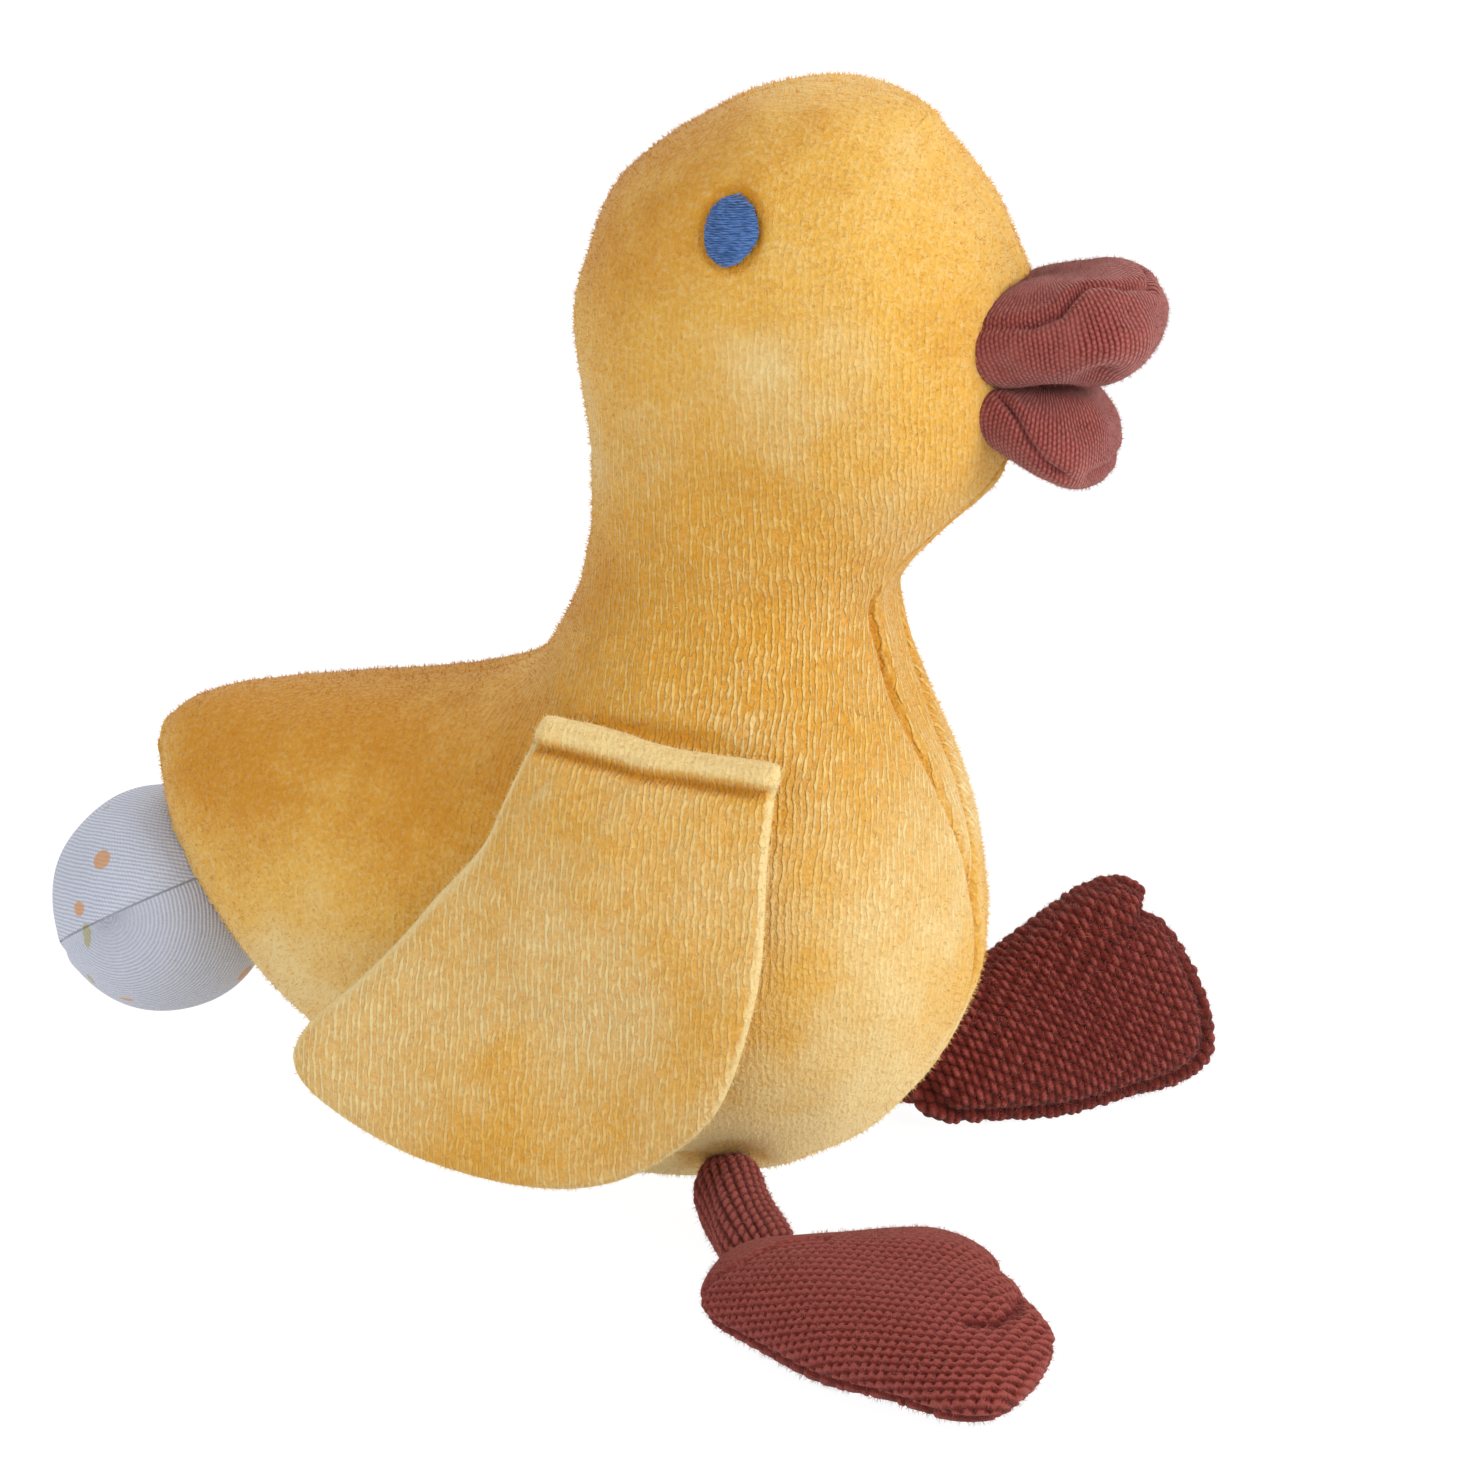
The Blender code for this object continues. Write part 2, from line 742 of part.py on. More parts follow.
def foot_matrix(splay_deg, roll_deg, pitch_deg):
    """The foot's own axes: along its length, across it towards the toe side, and up through it."""
    return (
        Matrix.Rotation(math.radians(splay_deg), 4, "Z")
        @ Matrix.Rotation(math.radians(-pitch_deg), 4, "Y")
        @ Matrix.Rotation(math.radians(roll_deg), 4, "X")
    )


def make_foot(name, side, ankle_place, turns_deg, skew, finish):
    """One foot, standing on the floor. It gives the foot and its ankle's centre."""
    turn = foot_matrix(*turns_deg)
    outline = []
    for along, across in FOOT_OUTLINE_SHARES:
        slant = skew * along * max(across, 0.0)
        outline.append(((along + slant) * FOOT_LENGTH, across * FOOT_HALF_WIDTH))
    centre = (FOOT_LENGTH / 2, 0.0)
    ankle = Vector((ANKLE_SHARES[0] * FOOT_LENGTH, -side * ANKLE_SHARES[1] * FOOT_HALF_WIDTH, 0.0))

    def place(along, across, up):
        return turn @ (Vector((along, across, up)) - ankle)

    foot = puff(name, outline, centre, FOOT_RING_SHARES, FOOT_HALF_HEIGHT, FOOT_POWER, place, finish)
    lowest = min(vertex.co.z for vertex in foot.data.vertices)
    centre_place = Vector((*ankle_place, -lowest - FLAT_DEPTH))
    foot.data.transform(Matrix.Translation(centre_place))
    reach = 2 * FOOT_LENGTH
    low = (centre_place.x - reach, centre_place.y - reach, -reach)
    high = (centre_place.x + reach, centre_place.y + reach, 0.0)
    cut(foot, block(name + "_floor", low, high))
    return foot, centre_place


def leg_path(hip, ankle, bend):
    """Places along the leg, bent sideways by a height, with the radius at each."""
    run = ankle - hip
    across = Vector((-run.y, run.x, 0.0)).normalized() * math.copysign(1.0, hip.y)
    length = run.length
    path = []
    for step in range(LEG_POINTS):
        share = step / (LEG_POINTS - 1)
        place = hip + run * share + across * bend * math.sin(math.pi * share)
        end_radius = HIP_RADIUS if share < 1 / 2 else ANKLE_RADIUS
        swell = min(min(share, 1 - share) * length / LEG_TAPER_LENGTH, 1.0)
        path.append((place, end_radius + (LEG_RADIUS - end_radius) * math.sin(swell * math.pi / 2)))
    return path


def make_leg(name, path, finish):
    """A tapered tube along its path, rounded at both ends."""
    rings = []

    def ring(place, radius, ahead):
        turn = ahead.to_track_quat("Z", "Y")
        around = [math.tau * step / LEG_SIDES for step in range(LEG_SIDES)]
        return [place + turn @ Vector((radius * math.cos(a), radius * math.sin(a), 0.0)) for a in around]

    first, last = path[0], path[-1]
    start_way = (path[1][0] - first[0]).normalized()
    end_way = (last[0] - path[-2][0]).normalized()
    for turn in reversed(LEG_CAP_TURNS_DEG):
        angle = math.radians(turn)
        place = first[0] - start_way * first[1] * math.sin(angle)
        rings.append(ring(place, first[1] * math.cos(angle), start_way))
    for index, (place, radius) in enumerate(path):
        before = path[max(index - 1, 0)][0]
        after = path[min(index + 1, len(path) - 1)][0]
        rings.append(ring(place, radius, (after - before).normalized()))
    for turn in LEG_CAP_TURNS_DEG:
        angle = math.radians(turn)
        place = last[0] + end_way * last[1] * math.sin(angle)
        rings.append(ring(place, last[1] * math.cos(angle), end_way))
    return loft(name, rings, finish)


def leg_sweep(name, ankle, path, margin):
    """The space that the leg's lower end fills as the foot swings about its ankle."""
    points = []
    reach = [item for item in path if (item[0] - ankle).length < ANKLE_ROOM_SHARE * LEG_RADIUS]
    for step in range(SWING_STEPS):
        angle = math.radians(ANKLE_SWING_DEG * (2 * step / (SWING_STEPS - 1) - 1))
        turn = Matrix.Rotation(angle, 4, "Z")
        for place, radius in reach:
            points += ball_points(ankle + turn @ (place - ankle), radius + margin)
    return hull(name, points)


def hip_of(side):
    x, z = body_at(HIP_SHARES)
    return Vector((x, side * HIP_HALF_SPREAD, z))


def make_ball(line, cover_finish, core_finish, cord_finish):
    """The pull handle: a jersey cover on a core, with the cord's knot in its far side."""
    centre = BALL_CENTRE
    way = line[1]
    inner = BALL_RADIUS - BALL_COVER_THICKNESS
    hole = CORD_RADIUS + CLEARANCE
    cover = ball("pull_ball_cover", centre, BALL_RADIUS, finish=cover_finish)
    mouth = rod("cover_mouth", centre - way * (BALL_RADIUS + OVERRUN), centre, CHANNEL_RADIUS, SHAFT_SIDES)
    cut(cover, ball("cover_hollow", centre, inner), mouth)
    core = ball("pull_ball_core", centre, inner - CLEARANCE, finish=core_finish)
    recess_depth = 2 * KNOT_RADIUS + CLEARANCE
    recess_floor = centre + way * (inner - recess_depth)
    past = way * (inner + OVERRUN)
    recess = rod("knot_recess", recess_floor, centre + past, KNOT_RADIUS + CLEARANCE, SHAFT_SIDES)
    bore = rod("core_bore", centre - past, recess_floor + way * OVERRUN, hole, SHAFT_SIDES)
    cut(core, recess, bore)
    knot_centre = recess_floor + way * (KNOT_RADIUS + CLEARANCE)
    knot = ball("cord_knot", knot_centre, KNOT_RADIUS - CLEARANCE, SHAFT_SIDES, SMALL_BALL_RINGS, cord_finish)
    for item in (cover, core, knot):
        set_origin(item, centre)
    return knot_centre - way * (KNOT_RADIUS + CLEARANCE)


# Musical movement

CASE_CENTRE = Vector((CASE_CENTRE_SHARES[0] * BODY_LENGTH, 0.0, CASE_CENTRE_SHARES[1] * BODY_HEIGHT))
BALL_CENTRE = Vector((BALL_CENTRE_SHARES[0] * BODY_LENGTH, 0.0, BALL_CENTRE_SHARES[1] * BODY_HEIGHT))
MAIN_SHAFT = CASE_CENTRE + Vector((MAIN_SHAFT_OFFSET[0], 0.0, MAIN_SHAFT_OFFSET[1]))
# The case goes round the frame's lower corners, and its lower bosses stand under the bedplate.
CASE_RADIUS = math.hypot(PLATE_HALF_LENGTH, PLATE_DROP + PLATE_THICKNESS) + CASE_MARGIN + CASE_WALL
BOSS_PLACE_RADIUS = CASE_RADIUS - CASE_WALL / 2 - BOSS_RADIUS
BOSS_DROP = PLATE_DROP + PLATE_THICKNESS + BOSS_RADIUS + BOSS_GAP
LOWER_BOSS_ANGLE_DEG = math.degrees(math.asin(BOSS_DROP / BOSS_PLACE_RADIUS))
BOSS_ANGLES_DEG = (TOP_BOSS_ANGLE_DEG, 180.0 + LOWER_BOSS_ANGLE_DEG, -LOWER_BOSS_ANGLE_DEG)
WHEEL_DISTANCE = (GEAR_TEETH + PINION_TEETH) * GEAR_MODULE / 2 + GEAR_SLACK
FLY_ANGLE = math.radians(FLY_ANGLE_DEG)
FLY_SHAFT = MAIN_SHAFT + WHEEL_DISTANCE * Vector((math.cos(FLY_ANGLE), 0.0, math.sin(FLY_ANGLE)))
CORD_WIND_RADIUS = DRUM_RADIUS + CLEARANCE + CORD_RADIUS

# Stations along Y, from the cover's inner face towards the base
# The cord leaves the drum at y = 0, by the flange next to the cylinder.
DRUM_END = CORD_RADIUS + CLEARANCE + DRUM_FLANGE
DRUM_START = DRUM_END - DRUM_CORE_WIDTH - 2 * DRUM_FLANGE
GEAR_END = DRUM_START - CLEARANCE
GEAR_START = GEAR_END - GEAR_WIDTH
CHEEK_A_END = GEAR_START - CLEARANCE
CHEEK_A_START = CHEEK_A_END - CHEEK_THICKNESS
BARREL_END = CHEEK_A_START - CLEARANCE
BARREL_START = BARREL_END - BARREL_DEPTH
CYLINDER_START = DRUM_END + CLEARANCE
CYLINDER_END = CYLINDER_START + MUSIC_CYLINDER_LENGTH
CHEEK_B_START = CYLINDER_END + CLEARANCE
CHEEK_B_END = CHEEK_B_START + CHEEK_THICKNESS
PLATE_TOP = CASE_CENTRE.z - PLATE_DROP
COMB_BOTTOM = MAIN_SHAFT.z - COMB_THICKNESS / 2
COMB_TIP_X = MAIN_SHAFT.x + MUSIC_CYLINDER_RADIUS + PIN_HEIGHT + CLEARANCE
COMB_ROOT_X = COMB_TIP_X + COMB_TOOTH_LENGTH
COMB_BACK_X = COMB_ROOT_X + COMB_BACK_LENGTH
COMB_SCREW_X = (COMB_ROOT_X + COMB_BACK_X) / 2
COMB_MIDDLE_Y = (CYLINDER_START + CYLINDER_END) / 2
COMB_SCREW_YS = [COMB_MIDDLE_Y + sign * COMB_SCREW_SPREAD_SHARE * MUSIC_CYLINDER_LENGTH for sign in (-1, 1)]


def cord_line():
    """Where the cord leaves the drum, and its way: the line to the ball's centre that touches the winding."""
    to_ball = BALL_CENTRE - MAIN_SHAFT
    distance = math.hypot(to_ball.x, to_ball.z)
    heading = math.atan2(to_ball.z, to_ball.x)
    lean = math.asin(CORD_WIND_RADIUS / distance)
    way = Vector((math.cos(heading - lean), 0.0, math.sin(heading - lean)))
    side = Vector((-way.z, 0.0, way.x))
    start = MAIN_SHAFT + side * CORD_WIND_RADIUS
    return start, way


def boss_places():
    for angle in BOSS_ANGLES_DEG:
        turn = math.radians(angle)
        yield CASE_CENTRE + BOSS_PLACE_RADIUS * Vector((math.cos(turn), 0.0, math.sin(turn)))


def at_y(place, y):
    return Vector((place.x, y, place.z))


def screw(name, matrix, shank_length, finish):
    """A slotted screw whose head sits on the matrix's origin and whose shank runs down its Z axis."""
    profile = (
        (-shank_length, 0.0),
        (-shank_length, SCREW_SHANK_RADIUS),
        (0.0, SCREW_SHANK_RADIUS),
        (0.0, SCREW_HEAD_RADIUS),
        (SCREW_HEAD_HEIGHT, SCREW_HEAD_RADIUS),
        (SCREW_HEAD_HEIGHT, 0.0),
    )
    item = lathe(name, profile, SCREW_SIDES, matrix, finish)
    half = SCREW_SLOT_WIDTH / 2
    reach = SCREW_HEAD_RADIUS + OVERRUN
    low = (-reach, -half, SCREW_HEAD_HEIGHT - SCREW_SLOT_DEPTH)
    slot = block(name + "_slot", low, (reach, half, SCREW_HEAD_HEIGHT + OVERRUN))
    slot.data.transform(matrix)
    cut(item, slot)


def make_case(line, plastic, steel):
    outer, inner = CASE_RADIUS, CASE_RADIUS - CASE_WALL
    start, way = line
    rim, floor = -CASE_HALF_DEPTH, CASE_HALF_DEPTH
    base_ends = at_y(CASE_CENTRE, rim), at_y(CASE_CENTRE, floor + CASE_WALL)
    base = rod("case_base", *base_ends, outer, CASE_SIDES, plastic)
    space_ends = at_y(CASE_CENTRE, rim - OVERRUN), at_y(CASE_CENTRE, floor)
    space = rod("case_space", *space_ends, inner, CASE_SIDES)
    pilot = SCREW_SHANK_RADIUS + CLEARANCE
    cover_face = rim - CLEARANCE
    cover_ends = at_y(CASE_CENTRE, cover_face - COVER_THICKNESS), at_y(CASE_CENTRE, cover_face)
    cover = rod("case_cover", *cover_ends, outer, CASE_SIDES, plastic)
    facing = Matrix.Rotation(math.radians(90), 4, "X")
    pilots = []
    for number, place in enumerate(boss_places(), 1):
        tag = f"_{number}"
        boss_ends = at_y(place, rim - 2 * OVERRUN), at_y(place, floor + OVERRUN)
        cut(space, rod("boss" + tag, *boss_ends, BOSS_RADIUS, SCREW_SIDES))
        depth = rim + SCREW_SHANK_LENGTH
        pilot_ends = at_y(place, rim - OVERRUN), at_y(place, depth)
        pilots.append(rod("pilot" + tag, *pilot_ends, pilot, SCREW_SIDES))
        hole_ends = at_y(place, cover_face - 2 * OVERRUN), at_y(place, rim)
        cut(cover, rod("cover_hole" + tag, *hole_ends, pilot, SCREW_SIDES))
        seat = at_y(place, cover_face - COVER_THICKNESS - CLEARANCE)
        screw("case_screw" + tag, Matrix.Translation(seat) @ facing, SCREW_SHANK_LENGTH, steel)
    for side in (-1, 1):
        end_x = CASE_CENTRE.x + side * (PLATE_HALF_LENGTH - LEDGE_LENGTH)
        wall_x = CASE_CENTRE.x + side * (PLATE_HALF_LENGTH + CASE_WALL / 2)
        top = PLATE_TOP - PLATE_THICKNESS - CLEARANCE
        low = (min(end_x, wall_x), CYLINDER_START, top - LEDGE_HEIGHT)
        high = (max(end_x, wall_x), floor + OVERRUN, top)
        cut(space, block(f"ledge_{side}", low, high))
    join(space, *pilots)
    outlet_ends = start + way * DRUM_FLANGE_RADIUS, start + way * 2 * CASE_RADIUS
    cut(base, space, rod("cord_outlet", *outlet_ends, CHANNEL_RADIUS, SHAFT_SIDES))


def make_frame(metal):
    """The bedplate with its two cheeks and the comb's riser, as one casting."""
    half = PLATE_HALF_LENGTH
    low = (CASE_CENTRE.x - half, CHEEK_A_START, PLATE_TOP - PLATE_THICKNESS)
    frame = block("movement_frame", low, (CASE_CENTRE.x + half, CHEEK_B_END, PLATE_TOP), metal)
    sink = PLATE_THICKNESS / 2
    top = FLY_SHAFT.z + CHEEK_MARGIN
    for tag, start, end in (("a", CHEEK_A_START, CHEEK_A_END), ("b", CHEEK_B_START, CHEEK_B_END)):
        outline = (
            (MAIN_SHAFT.x - CHEEK_MARGIN, PLATE_TOP - sink),
            (MAIN_SHAFT.x - CHEEK_MARGIN, MAIN_SHAFT.z + CHEEK_MARGIN),
            (FLY_SHAFT.x - CHEEK_MARGIN, top),
            (FLY_SHAFT.x + CHEEK_MARGIN, top),
            (FLY_SHAFT.x + CHEEK_MARGIN, PLATE_TOP - sink),
        )
        flipped = [(x, -z) for x, z in outline]
        join(frame, plate("cheek_" + tag, flipped, start, end, along_y((0, 0, 0))))
    low = (COMB_ROOT_X + RISER_MARGIN, CYLINDER_START, PLATE_TOP - sink)
    join(frame, block("riser", low, (COMB_BACK_X, CYLINDER_END, COMB_BOTTOM - CLEARANCE)))
    holes = (("main_hole", MAIN_SHAFT, MAIN_SHAFT_RADIUS), ("fly_hole", FLY_SHAFT, FLY_SHAFT_RADIUS))
    for name, place, radius in holes:
        start, end = at_y(place, CHEEK_A_START - OVERRUN), at_y(place, CHEEK_B_END + OVERRUN)
        cut(frame, rod(name, start, end, radius + CLEARANCE, SHAFT_SIDES))
    for number, y in enumerate(COMB_SCREW_YS, 1):
        top_place = Vector((COMB_SCREW_X, y, COMB_BOTTOM + OVERRUN))
        bottom = Vector((COMB_SCREW_X, y, COMB_BOTTOM - COMB_SCREW_SHANK_LENGTH))
        radius = SCREW_SHANK_RADIUS + CLEARANCE
        cut(frame, rod(f"comb_pilot_{number}", top_place, bottom, radius, SCREW_SIDES))


def make_comb(steel):
    """The comb: its back is screwed to the riser, and its teeth reach for the cylinder."""
    pitch = MUSIC_CYLINDER_LENGTH / COMB_TEETH
    tooth = pitch * COMB_TOOTH_SHARE
    outline = [(COMB_BACK_X, CYLINDER_START), (COMB_BACK_X, CYLINDER_END)]
    for number in reversed(range(COMB_TEETH)):
        middle = CYLINDER_START + (number + 1 / 2) * pitch
        outline.append((COMB_ROOT_X, middle + tooth / 2))
        outline.append((COMB_TIP_X, middle + tooth / 2))
        outline.append((COMB_TIP_X, middle - tooth / 2))
        outline.append((COMB_ROOT_X, middle - tooth / 2))
    comb = plate("comb", outline, COMB_BOTTOM, COMB_BOTTOM + COMB_THICKNESS, Matrix.Identity(4), steel)
    for number, y in enumerate(COMB_SCREW_YS, 1):
        low = Vector((COMB_SCREW_X, y, COMB_BOTTOM - OVERRUN))
        high = Vector((COMB_SCREW_X, y, COMB_BOTTOM + COMB_THICKNESS + OVERRUN))
        cut(comb, rod(f"comb_hole_{number}", low, high, SCREW_SHANK_RADIUS + CLEARANCE, SCREW_SIDES))
        seat = Vector((COMB_SCREW_X, y, COMB_BOTTOM + COMB_THICKNESS + CLEARANCE))
        length = COMB_SCREW_SHANK_LENGTH - CLEARANCE
        screw(f"comb_screw_{number}", Matrix.Translation(seat), length, steel)


def gear_outline(teeth, phase):
    """An involute wheel's outline, with a tooth centred on the phase angle."""
    pitch_radius = teeth * GEAR_MODULE / 2
    pressure = math.radians(PRESSURE_ANGLE_DEG)
    base_radius = pitch_radius * math.cos(pressure)
    tip = pitch_radius + ADDENDUM_SHARE * GEAR_MODULE
    root = pitch_radius - DEDENDUM_SHARE * GEAR_MODULE

    def involute(radius):
        angle = math.acos(min(base_radius / radius, 1.0))
        return math.tan(angle) - angle

    def half_angle(radius):
        whole = math.pi / (2 * teeth) - GEAR_BACKLASH / (2 * pitch_radius)
        return whole + involute(pitch_radius) - involute(max(radius, base_radius))

    outline = []
    lowest = max(root, base_radius)
    radii = [root] + [lowest + (tip - lowest) * step / FLANK_POINTS for step in range(1, FLANK_POINTS + 1)]
    for number in range(teeth):
        middle = phase + math.tau * number / teeth
        for radius in radii:
            outline.append((radius, middle - half_angle(radius)))
        for radius in reversed(radii):
            outline.append((radius, middle + half_angle(radius)))
    return [(radius * math.cos(turn), radius * math.sin(turn)) for radius, turn in outline]


def make_gear(name, place, teeth, phase, start, end, bore, finish):
    """A wheel in the XZ plane. Its outline's Y axis is turned to point up."""
    outline = [(x, -z) for x, z in gear_outline(teeth, phase)]
    wheel = plate(name, outline, start, end, along_y(at_y(place, 0.0)), finish)
    hole = rod(name + "_bore", at_y(place, start - OVERRUN), at_y(place, end + OVERRUN), bore, SHAFT_SIDES)
    cut(wheel, hole)
    return wheel


def make_music_cylinder(brass):
    bore = MAIN_SHAFT_RADIUS + CLEARANCE
    radius = MUSIC_CYLINDER_RADIUS
    profile = ((CYLINDER_START, bore), (CYLINDER_START, radius), (CYLINDER_END, radius), (CYLINDER_END, bore))
    cylinder = lathe("pinned_cylinder", profile, MUSIC_CYLINDER_SIDES, along_y(at_y(MAIN_SHAFT, 0.0)), brass)
    pitch = MUSIC_CYLINDER_LENGTH / COMB_TEETH
    points, faces = [], []
    golden_turn = math.pi * (3 - math.sqrt(5))
    for number in range(PIN_COUNT):
        y = CYLINDER_START + ((number * PIN_TRACK_STEP) % COMB_TEETH + 1 / 2) * pitch
        turn = golden_turn * number
        out = Vector((math.cos(turn), 0.0, math.sin(turn)))
        side = Vector((-out.z, 0.0, out.x)) * PIN_WIDTH / 2
        half = Vector((0.0, PIN_WIDTH / 2, 0.0))
        middle = at_y(MAIN_SHAFT, y)
        first = len(points)
        for level in (radius - PIN_HEIGHT, radius + PIN_HEIGHT):
            for a, b in ((-1, -1), (1, -1), (1, 1), (-1, 1)):
                points.append(middle + out * level + side * a + half * b)
        faces += ring_faces_from(first)
    pins = add_mesh("cylinder_pins", points, faces, smooth=False)
    join(cylinder, pins)
    return cylinder


def ring_faces_from(first):
    """The six faces of a box whose eight points start at an index."""
    low, high = list(range(first, first + 4)), list(range(first + 4, first + 8))
    return [low, high] + [(low[s], low[(s + 1) % 4], high[(s + 1) % 4], high[s]) for s in range(4)]


def make_drum(finish):
    bore = MAIN_SHAFT_RADIUS + CLEARANCE
    core_start, core_end = DRUM_START + DRUM_FLANGE, DRUM_END - DRUM_FLANGE
    profile = (
        (DRUM_START, bore),
        (DRUM_START, DRUM_FLANGE_RADIUS),
        (core_start, DRUM_FLANGE_RADIUS),
        (core_start, DRUM_RADIUS),
        (core_end, DRUM_RADIUS),
        (core_end, DRUM_FLANGE_RADIUS),
        (DRUM_END, DRUM_FLANGE_RADIUS),
        (DRUM_END, bore),
    )
    return lathe("cord_drum", profile, CASE_SIDES, along_y(at_y(MAIN_SHAFT, 0.0)), finish)


def make_barrel(finish):
    outer, inner = BARREL_RADIUS, BARREL_RADIUS - BARREL_WALL
    bore = MAIN_SHAFT_RADIUS + CLEARANCE
    floor = BARREL_START + BARREL_WALL
    profile = (
        (BARREL_START, bore),
        (BARREL_START, outer),
        (BARREL_END, outer),
        (BARREL_END, inner),
        (floor, inner),
        (floor, bore),
    )
    return lathe("spring_barrel", profile, CASE_SIDES, along_y(at_y(MAIN_SHAFT, 0.0)), finish)


def make_spring(finish):
    """The spiral mainspring: a flat strip that opens steadily from the shaft to the barrel's wall."""
    low = BARREL_START + BARREL_WALL + CLEARANCE
    high = BARREL_END - CLEARANCE
    inside = MAIN_SHAFT_RADIUS + 2 * CLEARANCE + SPRING_THICKNESS / 2
    outside = BARREL_RADIUS - BARREL_WALL - CLEARANCE - SPRING_THICKNESS / 2
    count = SPRING_TURNS * SPRING_TURN_POINTS
    rings = []
    for step in range(count + 1):
        share = step / count
        turn = math.tau * SPRING_TURNS * share
        out = Vector((math.cos(turn), 0.0, math.sin(turn)))
        middle = inside + (outside - inside) * share
        rings.append(
            [
                at_y(MAIN_SHAFT, y) + out * (middle + sign * SPRING_THICKNESS / 2)
                for y, sign in ((low, -1), (low, 1), (high, 1), (high, -1))
            ]
        )
    return loft("mainspring", rings, finish, ("flat", "flat"))


def make_governor(steel, plastic):
    """The air brake: a thin shaft with a pinion and two broad vanes."""
    start, end = at_y(FLY_SHAFT, CHEEK_A_START), at_y(FLY_SHAFT, CHEEK_B_END)
    shaft = rod("governor_shaft", start, end, FLY_SHAFT_RADIUS, SHAFT_SIDES, steel)
    toward = math.pi + FLY_ANGLE
    phase = toward + math.pi / PINION_TEETH
    bore = FLY_SHAFT_RADIUS + CLEARANCE
    pinion = make_gear("governor_pinion", FLY_SHAFT, PINION_TEETH, phase, GEAR_START, GEAR_END, bore, steel)
    fan_start, fan_end = CYLINDER_START + CLEARANCE, CYLINDER_END - CLEARANCE
    profile = ((fan_start, bore), (fan_start, VANE_HUB_RADIUS), (fan_end, VANE_HUB_RADIUS), (fan_end, bore))
    fan = lathe("governor_fan", profile, SHAFT_SIDES, along_y(at_y(FLY_SHAFT, 0.0)), plastic)
    half = VANE_THICKNESS / 2
    sunk = (bore + VANE_HUB_RADIUS) / 2
    for side in (-1, 1):
        ends = sorted((FLY_SHAFT.x + side * sunk, FLY_SHAFT.x + side * VANE_RADIUS))
        low = (ends[0], fan_start + OVERRUN, FLY_SHAFT.z - half)
        join(fan, block(f"vane_{side}", low, (ends[1], fan_end - OVERRUN, FLY_SHAFT.z + half)))
    return shaft, pinion, fan


def make_cord(line, end, finish):
    """The pull cord: its turns on the drum, then straight through the case, the belly and the ball."""
    start, way = line
    turns = CORD_TURNS
    side = (start - MAIN_SHAFT).normalized()
    wound = math.ceil(turns * CORD_TURN_POINTS)
    points = []
    for step in range(wound):
        share = 1 - step / wound
        # The winding turns so that it meets the straight stretch along its way.
        turn = Matrix.Rotation(-math.tau * turns * share, 4, "Y")
        y = -CORD_TURN_PITCH * turns * share
        points.append(at_y(MAIN_SHAFT, y) + turn @ side * CORD_WIND_RADIUS)
    straight = end - start
    for step in range(CORD_STRAIGHT_POINTS + 1):
        share = step / CORD_STRAIGHT_POINTS
        points.append(start + straight * share)
    curve = bpy.data.curves.new("pull_cord", "CURVE")
    curve.dimensions = "3D"
    curve.bevel_depth = CORD_RADIUS
    curve.bevel_resolution = 1
    curve.use_fill_caps = True
    track = curve.splines.new("POLY")
    track.points.add(len(points) - 1)
    for point, place in zip(track.points, points):
        point.co = (*place, 1.0)
    curve.materials.append(finish)
    item = bpy.data.objects.new("pull_cord", curve)
    bpy.context.scene.collection.objects.link(item)
    return item


